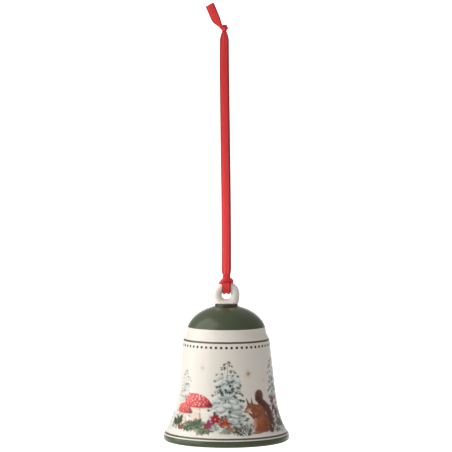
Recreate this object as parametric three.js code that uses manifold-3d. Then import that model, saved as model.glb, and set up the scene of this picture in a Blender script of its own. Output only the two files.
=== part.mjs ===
// A porcelain bell ornament on a satin ribbon, in millimetres, +Z up.
//
// The origin is inside the top of the ribbon's loop, just under the knot, where a hook or a twig
// carries it. The bell's axis is the Z axis, its painted front faces -Y and +X is to its right.
// Heights whose names end in _H are measured up from the plane of the bell's foot.

import * as THREE from 'three';
import { mergeVertices } from 'three/addons/utils/BufferGeometryUtils.js';
import Module from 'manifold-3d';

const wasm = await Module();
wasm.setup();

// Driving dimensions -------------------------------------------------------------------------

// Bell shell
const RIM_DIAMETER = 60.0;
const WALL = 3.0;
const FOOT_WIDTH = 1.3; // flat ring that the bell can stand on
const LIP_ROUND = 1.5; // quarter round between foot and side
const LIP_HEIGHT = 3.7; // top of the thickened lip
const LIP_INSET = 0.5; // how far the lip leans in over its height
const SHOULDER_H = 48.2; // where the waist ends
const SHOULDER_RADIUS = 20.4;
const SHOULDER_RISE = 2.7; // height of the sloping step up to the dome
const DOME_RADIUS = 18.9;
const DOME_HEIGHT = 13.3;
const FLARE_DROP_IN = 6.9; // how far in, and how far up, the flare's lower curve handle reaches
const FLARE_DROP_UP = 8.1;
const WAIST_HANDLE_OUT = 2.6; // the waist's upper curve handle, out from and down from the shoulder
const WAIST_HANDLE_DOWN = 15.8;

// Collar and hanger ring
const COLLAR_RADIUS = 5.1;
const COLLAR_LEDGE = 1.2; // how far the collar's foot spreads over the dome
const COLLAR_RISE = 0.8; // collar's top above the dome's top
const RING_OUTER_RADIUS = 6.15;
const RING_BAR_RADIUS = 2.0;
const RING_SINK = 2.3; // depth of the ring that its seat on the collar cuts away

// Inside the crown
const LUG_RADIUS = 2.6; // centre line of the eye
const LUG_BAR_RADIUS = 1.3;
const LUG_DROP = 2.1; // eye's centre below the lug's flat top
const LINK_WIRE_RADIUS = 0.6;
const LINK_LEG = 4.0; // straight side of the oval link
const STEM_WIRE_RADIUS = 0.6;

// Clapper
const BALL_RADIUS = 6.0;
const BALL_CENTRE_H = 11.0;
const STOP_RADIUS = 1.5;
const STOP_HEIGHT = 1.6;
const STEM_TIP = 0.25; // stem left standing out under the stop

// Ribbon
const RIBBON_WIDTH = 4.0;
const RIBBON_THICKNESS = 0.5;
const HITCH_WRAP = 0.6; // thickness of the turns round the ring's bar
const HITCH_HEIGHT = 2.9; // crossed turns above the ring
const HITCH_WIDTH = 6.2;
const HITCH_DEPTH = 3.6;
const HITCH_SINK = 1.2; // how far the crossed turns sit down round the bar
const STRAND_LENGTH = 115.0;
const STRAND_STEPS = 12;
// The strands' route from hitch to knot: [sideways offset, share of the length].
const STRAND_ROUTE = [[0, 0], [0.05, 0.12], [-0.05, 0.3], [-0.3, 0.5], [-0.5, 0.7], [-0.65, 0.88], [-0.7, 1]];
const KNOT_SIZE = [3.9, 3.4, 3.2];
const KNOT_OFFSET = -0.85; // knot's middle to the left of the bell's axis
const TAIL_LENGTH = 11.3;
const TAIL_LEAN = 29; // degrees from upright
const TAIL_SPLAY = 0.06; // how far each tail leans out of the other's way

// Clearances
const SEAT_GAP = 0.3; // between pieces that are stuck or crimped together
const LINK_GAP = 0.35; // round each bar that a link or an eye swings on
const HITCH_GAP = 0.25; // between the ring's bar and the ribbon round it
const FLEX_GAP = 0.6; // bend of the ribbon between hitch and strands
const BEAD_BORE_GAP = 0.3; // round the stem, inside bead and stop
const HOOK_ROOM = 0.4; // between the knot and the origin

// Fineness
const ROUND = 48;
const BAR_ROUND = 16;
const WIRE_ROUND = 10;
const LINK_ROUND = 32;
const RING_ROUND = 40;

// Heights that follow from them --------------------------------------------------------------

const rimRadius = RIM_DIAMETER / 2;
const domeBaseH = SHOULDER_H + SHOULDER_RISE;
const domeTopH = domeBaseH + DOME_HEIGHT;
const collarTopH = domeTopH + COLLAR_RISE - SEAT_GAP;
const ringRadius = RING_OUTER_RADIUS - RING_BAR_RADIUS;
const ringSeatH = collarTopH + SEAT_GAP;
const ringCentreH = ringSeatH - RING_SINK + RING_OUTER_RADIUS;
const ringTopH = ringCentreH + RING_OUTER_RADIUS;
const hitchTopH = ringTopH + HITCH_HEIGHT;
const strandEndH = hitchTopH + FLEX_GAP;
const originH = strandEndH + STRAND_LENGTH - HOOK_ROOM;
const knotCentre = [KNOT_OFFSET, 0, strandEndH + STRAND_LENGTH + SEAT_GAP + KNOT_SIZE[2] / 2];
const tailStart = KNOT_SIZE[0] / 2 + SEAT_GAP;

const lugTopH = domeTopH - WALL - SEAT_GAP - dropOfCrown(LUG_RADIUS + LUG_BAR_RADIUS);
const lugCentreH = lugTopH - LUG_DROP;
const linkPivotH = lugCentreH - LUG_RADIUS;
const linkRadius = LUG_BAR_RADIUS + LINK_GAP + LINK_WIRE_RADIUS;
const stemPivotH = linkPivotH - LINK_LEG - linkRadius;
const eyeRadius = LINK_WIRE_RADIUS + LINK_GAP + STEM_WIRE_RADIUS;
const boreRadius = STEM_WIRE_RADIUS + BEAD_BORE_GAP;
const ballFootH = BALL_CENTRE_H - Math.sqrt(BALL_RADIUS ** 2 - boreRadius ** 2);
const stopTopH = ballFootH - SEAT_GAP;
const stemTipH = stopTopH - STOP_HEIGHT - STEM_TIP;

/** Fall of the inner crown below its top, at a distance from the axis. */
function dropOfCrown(r) {
  const a = DOME_RADIUS - WALL;
  return (DOME_HEIGHT - WALL) * (1 - Math.sqrt(1 - (r / a) ** 2));
}

// Materials ----------------------------------------------------------------------------------

const finish = (color, roughness, metalness = 0) =>
  new THREE.MeshStandardMaterial({ color, roughness, metalness });
const ivoryGlaze = finish(0xefe9dd, 0.18);
const darkGreenGlaze = finish(0x3f4231, 0.22);
const bareWire = finish(0xb9b4a8, 0.3, 1);
const brass = finish(0xb08d4a, 0.32, 1);
const redSatin = finish(0xd2343a, 0.45);

// Shared helpers -----------------------------------------------------------------------------

/** A three.js geometry as a manifold solid. */
function solid(geometry) {
  const bare = geometry.index ? geometry.toNonIndexed() : geometry.clone();
  bare.deleteAttribute('normal');
  bare.deleteAttribute('uv');
  const merged = mergeVertices(bare, 1e-4);
  const mesh = new wasm.Mesh({
    numProp: 3,
    vertProperties: Float32Array.from(merged.attributes.position.array),
    triVerts: Uint32Array.from(merged.index.array),
  });
  return new wasm.Manifold(mesh);
}

/** A manifold solid as a three.js geometry. */
function geometryOf(manifold) {
  const mesh = manifold.getMesh();
  const geometry = new THREE.BufferGeometry();
  geometry.setAttribute('position', new THREE.BufferAttribute(Float32Array.from(mesh.vertProperties), 3));
  geometry.setIndex(new THREE.BufferAttribute(Uint32Array.from(mesh.triVerts), 1));
  geometry.computeVertexNormals();
  return geometry;
}

/** A lathed solid about Z from [radius, height] pairs that go up its outside and down its inside. */
function lathe(outline, segments = ROUND) {
  const points = outline.map(([r, h]) => new THREE.Vector2(r, h));
  const geometry = new THREE.LatheGeometry(points, segments);
  geometry.rotateX(Math.PI / 2);
  return geometry;
}

/** A full ring in the XZ plane round (0, 0, height). */
function ringXZ(radius, bar, height, around = RING_ROUND, section = BAR_ROUND) {
  const geometry = new THREE.TorusGeometry(radius, bar, section, around);
  geometry.rotateX(Math.PI / 2);
  geometry.translate(0, 0, height);
  return geometry;
}

/** An upright round wire on the Z axis between two heights. */
function wire(radius, low, high) {
  const geometry = new THREE.CylinderGeometry(radius, radius, high - low, WIRE_ROUND);
  geometry.rotateX(Math.PI / 2);
  geometry.translate(0, 0, (low + high) / 2);
  return geometry;
}

/** A box from its lowest to its highest corner. */
function block(low, high) {
  const size = high.map((v, i) => v - low[i]);
  const geometry = new THREE.BoxGeometry(...size);
  geometry.translate(...low.map((v, i) => v + size[i] / 2));
  return geometry;
}

/** The ribbon's section: a flat strip with eased edges, width along X. */
function ribbonSection() {
  const w = RIBBON_WIDTH / 2;
  const t = RIBBON_THICKNESS / 2;
  const ease = t / 2;
  const corners = [[w, -ease], [w, ease], [w - ease, t], [ease - w, t], [-w, ease], [-w, -ease],
    [ease - w, -t], [w - ease, -t]];
  return new THREE.Shape(corners.map(([x, y]) => new THREE.Vector2(x, y)));
}

/** A flat strip of ribbon along a route, kept facing the front. */
function strip(route, steps) {
  const curve = new THREE.CatmullRomCurve3(route.map((p) => new THREE.Vector3(...p)));
  const frames = { tangents: [], normals: [], binormals: [] };
  for (let i = 0; i <= steps; i += 1) {
    const tangent = curve.getTangentAt(i / steps);
    const across = new THREE.Vector3(0, 1, 0).cross(tangent).normalize();
    frames.tangents.push(tangent);
    frames.normals.push(across);
    frames.binormals.push(tangent.clone().cross(across).normalize());
  }
  curve.computeFrenetFrames = () => frames;
  return new THREE.ExtrudeGeometry(ribbonSection(), { steps, extrudePath: curve, bevelEnabled: false });
}

/** A named piece. */
function piece(name, geometry, material) {
  const mesh = new THREE.Mesh(geometry, material);
  mesh.name = name;
  return mesh;
}

// Bell shell ---------------------------------------------------------------------------------

/** The waist's curve from the top of the lip to the shoulder, as [radius, height] points. */
function waistCurve() {
  const lipTopRadius = rimRadius - LIP_INSET;
  return new THREE.CubicBezierCurve(
    new THREE.Vector2(lipTopRadius, LIP_HEIGHT),
    new THREE.Vector2(lipTopRadius - FLARE_DROP_IN, LIP_HEIGHT + FLARE_DROP_UP),
    new THREE.Vector2(SHOULDER_RADIUS + WAIST_HANDLE_OUT, SHOULDER_H - WAIST_HANDLE_DOWN),
    new THREE.Vector2(SHOULDER_RADIUS, SHOULDER_H),
  );
}

/** Waist and dome, moved in square to the surface by a depth; from lip to crown. */
function bodyLine(depth) {
  const points = [];
  const curve = waistCurve();
  const steps = 10;
  for (let i = 0; i <= steps; i += 1) {
    const at = curve.getPointAt(i / steps);
    const along = curve.getTangentAt(i / steps);
    points.push([at.x - depth * along.y, at.y + depth * along.x]);
  }
  const turns = 8;
  for (let i = 0; i <= turns; i += 1) {
    const angle = (i / turns) * (Math.PI / 2);
    const r = (DOME_RADIUS - depth) * Math.cos(angle);
    points.push([i === turns ? 0 : r, domeBaseH + (DOME_HEIGHT - depth) * Math.sin(angle)]);
  }
  return points;
}

/** The quarter round from the foot up to the lip's widest point, as [radius, height] points. */
function lipLine() {
  const points = [];
  const steps = 4;
  for (let i = 0; i <= steps; i += 1) {
    const angle = (i / steps) * (Math.PI / 2);
    const r = rimRadius - LIP_ROUND + LIP_ROUND * Math.sin(angle);
    points.push([r, LIP_ROUND * (1 - Math.cos(angle))]);
  }
  return points;
}

function bellShell() {
  const footInner = rimRadius - LIP_ROUND - FOOT_WIDTH;
  const inner = bodyLine(WALL).reverse();
  const outline = [...lipLine(), ...bodyLine(0), ...inner, [footInner, 0], lipLine()[0]];
  return piece('bell_shell', lathe(outline), ivoryGlaze);
}

// Collar and ring ----------------------------------------------------------------------------

/** Height of the dome's outside at a distance from the axis. */
const domeH = (r) => domeBaseH + DOME_HEIGHT * Math.sqrt(1 - (r / DOME_RADIUS) ** 2);

function neckCollar() {
  const foot = COLLAR_RADIUS + COLLAR_LEDGE;
  const under = [0, 0.35, 0.7, 1].map((share) => [foot * share, domeH(foot * share) + SEAT_GAP]);
  const outside = [[COLLAR_RADIUS, domeH(COLLAR_RADIUS) + 2 * SEAT_GAP], [COLLAR_RADIUS, collarTopH]];
  return piece('neck_collar', lathe([...under, ...outside, [0, collarTopH]]), darkGreenGlaze);
}

function hangerRing() {
  const reach = RING_OUTER_RADIUS + RING_BAR_RADIUS;
  const seat = block([-reach, -reach, ringSeatH - reach], [reach, reach, ringSeatH]);
  const ring = solid(ringXZ(ringRadius, RING_BAR_RADIUS, ringCentreH)).subtract(solid(seat));
  return piece('hanger_ring', geometryOf(ring), ivoryGlaze);
}

// Lug, link and clapper ----------------------------------------------------------------------

function crownLug() {
  const reach = LUG_RADIUS + LUG_BAR_RADIUS;
  const above = block([-reach, -reach, lugTopH], [reach, reach, lugTopH + reach]);
  const eye = solid(ringXZ(LUG_RADIUS, LUG_BAR_RADIUS, lugCentreH, LINK_ROUND, WIRE_ROUND));
  return piece('crown_lug', geometryOf(eye.subtract(solid(above))), ivoryGlaze);
}

/** Oval wire link in the YZ plane: a round ring pulled apart at its middle by the straight legs. */
function clapperLink() {
  const ring = ringXZ(linkRadius, LINK_WIRE_RADIUS, 0, LINK_ROUND, WIRE_ROUND);
  ring.rotateY(Math.PI / LINK_ROUND); // so that no ring of vertices lies level with the middle
  ring.rotateZ(Math.PI / 2);
  const { position } = ring.attributes;
  for (let i = 0; i < position.count; i += 1) {
    position.setZ(i, position.getZ(i) + (Math.sign(position.getZ(i)) * LINK_LEG) / 2);
  }
  ring.translate(0, 0, linkPivotH - LINK_LEG / 2);
  return piece('clapper_link', ring, bareWire);
}

/** Straight wire with an eye at its top, which turns on the link's lower end. */
function clapperStem() {
  const eye = solid(ringXZ(eyeRadius, STEM_WIRE_RADIUS, stemPivotH, 24, WIRE_ROUND));
  const shank = solid(wire(STEM_WIRE_RADIUS, stemTipH, stemPivotH - eyeRadius));
  return piece('clapper_stem', geometryOf(eye.add(shank)), bareWire);
}

/** Bead with a bore along Z, lathed round the stem. */
function clapperBall() {
  const outline = [];
  const turns = 10;
  const start = Math.asin(boreRadius / BALL_RADIUS);
  for (let i = 0; i <= turns; i += 1) {
    const angle = start + (i / turns) * (Math.PI - 2 * start);
    outline.push([BALL_RADIUS * Math.sin(angle), BALL_CENTRE_H - BALL_RADIUS * Math.cos(angle)]);
  }
  return piece('clapper_ball', lathe([...outline, outline[0]], 24), ivoryGlaze);
}

/** Ferrule crimped under the bead. */
function clapperStop() {
  const foot = stopTopH - STOP_HEIGHT;
  const ease = STOP_HEIGHT / 4;
  const outline = [[boreRadius, foot], [STOP_RADIUS - ease, foot], [STOP_RADIUS, foot + ease],
    [STOP_RADIUS, stopTopH - ease], [STOP_RADIUS - ease, stopTopH], [boreRadius, stopTopH], [boreRadius, foot]];
  return piece('clapper_stop', lathe(outline, 20), brass);
}

// Ribbon -------------------------------------------------------------------------------------

/** Turns round the ring's bar with the crossed turns above them, cut clear of the bar. */
function ribbonHitch() {
  const half = RIBBON_WIDTH / 2;
  const wrapRadius = RING_BAR_RADIUS + HITCH_GAP + HITCH_WRAP;
  const reach = RING_OUTER_RADIUS + HITCH_GAP + HITCH_WRAP;
  const stretch = block([-half, -reach, ringCentreH], [half, reach, ringCentreH + reach]);
  const turns = solid(ringXZ(ringRadius, wrapRadius, ringCentreH)).intersect(solid(stretch));
  const tall = HITCH_HEIGHT + HITCH_SINK;
  const lump = new THREE.SphereGeometry(1, 24, 16);
  lump.scale(HITCH_WIDTH / 2, HITCH_DEPTH / 2, tall / 2);
  lump.translate(0, 0, hitchTopH - tall / 2);
  const bar = solid(ringXZ(ringRadius, RING_BAR_RADIUS + HITCH_GAP, ringCentreH));
  return piece('ribbon_hitch', geometryOf(turns.add(solid(lump)).subtract(bar)), redSatin);
}

/** One run of the loop; side is -1 in front and 1 behind. */
function ribbonStrand(name, side) {
  const y = (side * (RIBBON_THICKNESS + SEAT_GAP)) / 2;
  const route = STRAND_ROUTE.map(([x, share]) => [x, y, strandEndH + share * STRAND_LENGTH]);
  return piece(name, strip(route, STRAND_STEPS), redSatin);
}

function ribbonKnot() {
  const knot = new THREE.SphereGeometry(1, 20, 14);
  knot.scale(...KNOT_SIZE.map((size) => size / 2));
  knot.translate(knotCentre[0], knotCentre[1], knotCentre[2]);
  return piece('ribbon_knot', knot, redSatin);
}

/** One cut end, leaning to the left from the knot; side is -1 in front and 1 behind. */
function ribbonTail(name, side) {
  const y = (side * (RIBBON_THICKNESS + SEAT_GAP)) / 2;
  const lean = THREE.MathUtils.degToRad(TAIL_LEAN);
  const along = [-Math.sin(lean), side * TAIL_SPLAY, Math.cos(lean)];
  const route = [0, 1 / 3, 2 / 3, 1].map((share) => {
    const far = tailStart + share * TAIL_LENGTH;
    return [knotCentre[0] + along[0] * far, y + along[1] * share * far, knotCentre[2] + along[2] * far];
  });
  return piece(name, strip(route, 6), redSatin);
}

// Assembly -----------------------------------------------------------------------------------

const bell = new THREE.Group();
bell.add(bellShell(), neckCollar(), hangerRing(), crownLug());

const clapper = new THREE.Group();
clapper.add(clapperLink(), clapperStem(), clapperBall(), clapperStop());

const ribbon = new THREE.Group();
ribbon.add(ribbonHitch(), ribbonStrand('ribbon_front_strand', -1), ribbonStrand('ribbon_back_strand', 1));
ribbon.add(ribbonKnot(), ribbonTail('ribbon_front_tail', -1), ribbonTail('ribbon_back_tail', 1));

// Every piece is drawn up from the foot's plane, so the whole ornament drops to hang from the origin.
const ornament = new THREE.Group();
ornament.add(bell, clapper, ribbon);
ornament.position.z = -originH;

const part = new THREE.Group();
part.add(ornament);

export default part;
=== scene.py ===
"""Porcelain bell ornament on a satin ribbon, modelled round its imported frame.

The bell is turned, glazed and painted by hand; its ring hangs in a lark's head of red satin
ribbon, and a porcelain clapper swings inside. Sizes are in millimetres until `Datum` turns them
into the frame's metres. Heights are measured up from the plane of the bell's foot.
"""

import logging
import math
from collections.abc import Callable, Iterable, Sequence
from dataclasses import dataclass, field
from enum import Enum

import bpy
import numpy as np
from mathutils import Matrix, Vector


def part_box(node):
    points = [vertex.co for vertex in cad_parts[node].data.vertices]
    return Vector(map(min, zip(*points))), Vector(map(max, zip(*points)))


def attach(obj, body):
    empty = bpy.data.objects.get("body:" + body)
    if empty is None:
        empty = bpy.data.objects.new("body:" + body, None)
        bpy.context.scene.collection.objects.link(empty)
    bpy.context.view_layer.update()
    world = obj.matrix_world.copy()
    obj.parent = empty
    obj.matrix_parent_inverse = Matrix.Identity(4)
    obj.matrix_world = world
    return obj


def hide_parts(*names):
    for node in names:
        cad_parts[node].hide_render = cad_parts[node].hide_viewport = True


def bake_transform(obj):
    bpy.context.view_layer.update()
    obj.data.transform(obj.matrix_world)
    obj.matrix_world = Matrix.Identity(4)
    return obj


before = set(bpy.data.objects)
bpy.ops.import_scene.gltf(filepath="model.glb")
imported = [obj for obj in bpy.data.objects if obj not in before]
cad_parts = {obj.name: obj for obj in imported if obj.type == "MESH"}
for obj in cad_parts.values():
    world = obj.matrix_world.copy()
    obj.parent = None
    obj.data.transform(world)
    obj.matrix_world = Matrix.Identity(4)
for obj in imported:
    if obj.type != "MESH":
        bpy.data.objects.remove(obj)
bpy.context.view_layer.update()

LOG = logging.getLogger("bell")
MM = 0.001
Rgb = tuple[float, float, float]
Point = tuple[float, float, float]
Place = tuple[float, float]
Fed = bpy.types.NodeSocket | float | tuple


# Places -----------------------------------------------------------------------------------------


@dataclass(frozen=True)
class Datum:
    """Turns heights above the foot, in millimetres, into places in the frame, in metres."""

    foot_z: float

    def z(self, height: float) -> float:
        """The frame's height of a height above the foot."""
        return self.foot_z + height * MM

    def at(self, x: float, y: float, height: float) -> Vector:
        """The place of a point given in millimetres from the axis and above the foot."""
        return Vector((x * MM, y * MM, self.z(height)))

    def height(self, z: float) -> float:
        """The height above the foot, in millimetres, of a height in the frame."""
        return (z - self.foot_z) / MM


# Modelling by hand ------------------------------------------------------------------------------


class Bench:
    """The modelling moves that several pieces share, all of them bpy operators."""

    @staticmethod
    def clear() -> None:
        """Leaves edit mode and deselects everything."""
        if bpy.context.object and bpy.context.object.mode != "OBJECT":
            bpy.ops.object.mode_set(mode="OBJECT")
        bpy.ops.object.select_all(action="DESELECT")

    @staticmethod
    def take(piece: bpy.types.Object) -> None:
        """Selects one piece alone and makes it active."""
        Bench.clear()
        piece.select_set(True)
        bpy.context.view_layer.objects.active = piece

    @staticmethod
    def named(name: str) -> bpy.types.Object:
        """Names the active object and its mesh."""
        piece = bpy.context.object
        piece.name = name
        piece.data.name = name
        return piece

    @staticmethod
    def settle(piece: bpy.types.Object) -> None:
        """Puts a piece's place, turn and size into its mesh."""
        Bench.take(piece)
        bpy.ops.object.transform_apply(location=True, rotation=True, scale=True)

    @staticmethod
    def smooth(piece: bpy.types.Object, degrees: float = 40.0) -> None:
        """Shades a piece smooth except along edges sharper than an angle."""
        Bench.take(piece)
        bpy.ops.object.shade_smooth_by_angle(angle=math.radians(degrees))

    @staticmethod
    def apply(piece: bpy.types.Object, kind: str, **settings: object) -> None:
        """Adds a modifier with its settings and applies it."""
        Bench.take(piece)
        modifier = piece.modifiers.new(kind.title(), kind)
        for key, value in settings.items():
            setattr(modifier, key, value)
        bpy.ops.object.modifier_apply(modifier=modifier.name)

    @staticmethod
    def turned(name: str, outline: Sequence[Place], datum: Datum, steps: int) -> bpy.types.Object:
        """Turns an outline about the bell's axis, as on a lathe.

        Args:
            name: the piece's name.
            outline: radius and height pairs in millimetres; a closed outline repeats its first pair.
            datum: where the heights are measured from.
            steps: number of steps in the turn.

        Returns:
            The closed piece, its faces pointing out.
        """
        Bench.clear()
        bpy.ops.mesh.primitive_plane_add(size=MM, location=(0, 0, 0))
        bpy.ops.object.mode_set(mode="EDIT")
        bpy.ops.mesh.select_mode(type="VERT")
        bpy.ops.mesh.select_all(action="SELECT")
        bpy.ops.mesh.merge(type="CENTER")
        places = [datum.at(r, 0, h) for r, h in outline]
        bpy.ops.transform.translate(value=places[0])
        for here, there in zip(places, places[1:]):
            bpy.ops.mesh.extrude_region_move(TRANSFORM_OT_translate={"value": there - here})
        bpy.ops.mesh.select_all(action="SELECT")
        bpy.ops.mesh.spin(steps=steps, angle=2 * math.pi, center=(0, 0, 0), axis=(0, 0, 1))
        bpy.ops.mesh.select_all(action="SELECT")
        bpy.ops.mesh.remove_doubles(threshold=1e-6)
        bpy.ops.mesh.normals_make_consistent(inside=False)
        bpy.ops.object.mode_set(mode="OBJECT")
        return Bench.named(name)

    @staticmethod
    def ring(name: str, centre: Vector, radius: float, bar: float, turn: Point,
             steps: int = 96, section: int = 32) -> bpy.types.Object:
        """A round ring of round bar.

        Args:
            name: the piece's name.
            centre: its middle, in metres.
            radius: of the bar's centre line, in millimetres.
            bar: radius of the bar, in millimetres.
            turn: how it is turned, as angles about X, Y and Z in radians.
            steps, section: corners round the ring and round the bar.

        Returns:
            The ring.
        """
        Bench.clear()
        bpy.ops.mesh.primitive_torus_add(location=centre, rotation=turn, major_segments=steps,
                                         minor_segments=section, major_radius=radius * MM,
                                         minor_radius=bar * MM)
        piece = Bench.named(name)
        Bench.settle(piece)
        return piece

    @staticmethod
    def cut(piece: bpy.types.Object, place: Vector, normal: Point, keep_below: bool) -> None:
        """Saws a piece along a plane and closes the cut."""
        Bench.take(piece)
        bpy.ops.object.mode_set(mode="EDIT")
        bpy.ops.mesh.select_all(action="SELECT")
        bpy.ops.mesh.bisect(plane_co=place, plane_no=normal, use_fill=True,
                            clear_outer=keep_below, clear_inner=not keep_below)
        bpy.ops.object.mode_set(mode="OBJECT")

    @staticmethod
    def pick(piece: bpy.types.Object, test: Callable[[Vector], bool]) -> None:
        """Enters edit mode with exactly those vertices selected whose place passes a test."""
        Bench.take(piece)
        bpy.ops.object.mode_set(mode="EDIT")
        bpy.ops.mesh.select_mode(type="VERT")
        bpy.ops.mesh.select_all(action="DESELECT")
        bpy.ops.object.mode_set(mode="OBJECT")
        for vertex in piece.data.vertices:
            vertex.select = bool(test(vertex.co))
        bpy.ops.object.mode_set(mode="EDIT")


def dress(piece: bpy.types.Object, material: bpy.types.Material) -> bpy.types.Object:
    """Gives a piece one material."""
    piece.data.materials.clear()
    piece.data.materials.append(material)
    return piece


# Node wiring ------------------------------------------------------------------------------------


class Wiring:
    """Adds and joins the nodes of one node tree."""

    def __init__(self, tree: bpy.types.NodeTree) -> None:
        """Takes up a node tree."""
        self.tree = tree

    def node(self, kind: str, inputs: dict | None = None, **settings: object) -> bpy.types.Node:
        """Adds a node, sets its properties and feeds its inputs.

        Args:
            kind: the node's type.
            inputs: input name or number to a value or a socket.
            settings: properties of the node.

        Returns:
            The node.
        """
        made = self.tree.nodes.new(kind)
        for key, value in settings.items():
            setattr(made, key, value)
        for key, value in (inputs or {}).items():
            self.feed(made.inputs[key], value)
        return made

    def feed(self, socket: bpy.types.NodeSocket, value: Fed) -> None:
        """Links a socket to an input, or sets the input's own value."""
        if isinstance(value, bpy.types.NodeSocket):
            self.tree.links.new(value, socket)
        elif isinstance(value, tuple) and len(value) == 3 and len(socket.default_value) == 4:
            socket.default_value = (*value, 1.0)
        else:
            socket.default_value = value

    def math(self, operation: str, a: Fed, b: Fed = 0.0) -> bpy.types.NodeSocket:
        """One step of arithmetic on two values."""
        return self.node("ShaderNodeMath", {0: a, 1: b}, operation=operation).outputs[0]

    def times(self, a: Fed, b: Fed) -> bpy.types.NodeSocket:
        """The product of two values."""
        return self.math("MULTIPLY", a, b)

    def plus(self, a: Fed, b: Fed) -> bpy.types.NodeSocket:
        """The sum of two values."""
        return self.math("ADD", a, b)

    def less(self, a: Fed, b: Fed) -> bpy.types.NodeSocket:
        """One value less another."""
        return self.math("SUBTRACT", a, b)

    def length(self, a: Fed, b: Fed) -> bpy.types.NodeSocket:
        """The length of a step whose two parts are given."""
        return self.math("SQRT", self.plus(self.math("POWER", a, 2.0), self.math("POWER", b, 2.0)))

    def blend(self, share: Fed, a: Fed, b: Fed) -> bpy.types.NodeSocket:
        """Mixes two colours by a share."""
        return self.node("ShaderNodeMix", {0: share, 6: a, 7: b}, data_type="RGBA").outputs[2]

    def noise(self, place: Fed, scale: float, detail: float = 3.0,
              roughness: float = 0.5) -> bpy.types.NodeSocket:
        """Fractal noise from 0 to 1 at a place."""
        inputs = {"Vector": place, "Scale": scale, "Detail": detail, "Roughness": roughness}
        return self.node("ShaderNodeTexNoise", inputs).outputs["Fac"]

    def ease(self, value: Fed, low: float, high: float) -> bpy.types.NodeSocket:
        """0 below one value, 1 above another, and a smooth step between them."""
        inputs = {"Value": value, "From Min": low, "From Max": high}
        return self.node("ShaderNodeMapRange", inputs, interpolation_type="SMOOTHSTEP").outputs["Result"]

    def use(self, group: bpy.types.NodeTree, inputs: dict[str, Fed]) -> bpy.types.Node:
        """Places a node group and feeds its inputs."""
        made = self.node("ShaderNodeGroup", node_tree=group)
        for key, value in inputs.items():
            self.feed(made.inputs[key], value)
        return made


def linear(display: Rgb) -> Rgb:
    """Display values as linear light."""
    return tuple(v / 12.92 if v <= 0.04045 else ((v + 0.055) / 1.055) ** 2.4 for v in display)


# Painting the frieze ----------------------------------------------------------------------------


def rgb(code: str) -> Rgb:
    """A colour from its six hexadecimal digits, as display values from 0 to 1."""
    return tuple(int(code[i : i + 2], 16) / 255 for i in (0, 2, 4))


def heading(turn: float) -> Place:
    """The step of length 1 in a direction, in degrees anticlockwise from the right."""
    return math.cos(math.radians(turn)), math.sin(math.radians(turn))


class Tint(Enum):
    """Pigments of the painted frieze."""

    GROUND = rgb("F2ECE1")
    SNOW = rgb("EBEEEC")
    SNOW_SHADE = rgb("AEB6B6")
    FROST = rgb("D3D8D6")
    MIST = rgb("DAD6D6")
    PINE = rgb("4A5A4E")
    PINE_DARK = rgb("2C3931")
    PINE_GREY = rgb("7D8C86")
    LEAF = rgb("5F7A57")
    LEAF_DARK = rgb("34492F")
    LEAF_PALE = rgb("A3B391")
    CAP = rgb("D8393C")
    CAP_DARK = rgb("8E1F2B")
    CAP_LIGHT = rgb("F0706A")
    CREAM = rgb("F6EBDD")
    STALK = rgb("EFE0D0")
    STALK_SHADE = rgb("C79F8C")
    BERRY = rgb("C8262B")
    BERRY_DARK = rgb("7E1420")
    EMBER = rgb("D9592F")
    MAGENTA = rgb("9C2C55")
    RUST = rgb("A8543A")
    TWIG = rgb("6E4A38")
    FERN = rgb("96735A")
    FUR = rgb("A15A3C")
    FUR_LIGHT = rgb("C9855C")
    FUR_DARK = rgb("6B3A2A")
    TAIL = rgb("70493F")
    TAIL_DARK = rgb("43282A")
    TAIL_LIGHT = rgb("A87B63")
    BELLY = rgb("E2BFA0")
    INK = rgb("241A18")
    GOLD = rgb("B98A52")
    GOLD_PALE = rgb("EBCFAE")


Pigment = Tint | Rgb


def pure(tint: Pigment) -> Rgb:
    """The colour of a pigment; a colour stays as it is."""
    return tint.value if isinstance(tint, Tint) else tint


def mixed(a: Pigment, b: Pigment, share: float) -> Rgb:
    """The colour that lies a share of the way from one pigment to another."""
    return tuple(x + (y - x) * share for x, y in zip(pure(a), pure(b)))


class Canvas:
    """The band of glaze round the waist that is painted, unrolled to millimetres.

    Args:
        turns: angle of each column round the bell, in radians, 0 at the front, positive to the right.
        heights: height of each row above the foot, in millimetres.
        ground: colour of the bare glaze.
    """

    REACH = 23.0  # waist radius that turns angles into millimetres

    def __init__(self, turns: np.ndarray, heights: np.ndarray, ground: Rgb) -> None:
        """Lays out the band, all of it ground and none of it covered."""
        self.across = turns * self.REACH
        self.up = heights
        self.round = 2 * math.pi * self.REACH
        self.colour = np.tile(np.array(ground), (len(heights), len(turns), 1))
        self.cover = np.zeros((len(heights), len(turns)))

    def window(self, u: float, v: float, reach_u: float, reach_v: float) -> tuple[np.ndarray, ...]:
        """Rows, columns and distances from (u, v) of the points near it.

        Args:
            u, v: place on the unrolled band.
            reach_u, reach_v: half width and half height of the window.

        Returns:
            Row indices, column indices, distances across (1, columns) and distances up (rows, 1).
        """
        rows = np.nonzero(np.abs(self.up - v) <= reach_v)[0]
        off = (self.across - u + self.round / 2) % self.round - self.round / 2
        columns = np.nonzero(np.abs(off) <= reach_u)[0]
        return rows, columns, off[columns][None, :], (self.up[rows] - v)[:, None]

    def lay(self, rows: np.ndarray, columns: np.ndarray, mask: np.ndarray,
            tint: Pigment | np.ndarray) -> None:
        """Blends a pigment, or one colour for each point, into a window through a mask."""
        if rows.size == 0 or columns.size == 0:
            return
        spot = np.ix_(rows, columns)
        mask = np.clip(mask, 0, 1)
        colour = tint if isinstance(tint, np.ndarray) else np.asarray(pure(tint))
        self.colour[spot] += (colour - self.colour[spot]) * mask[..., None]
        self.cover[spot] += (1 - self.cover[spot]) * mask


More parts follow.
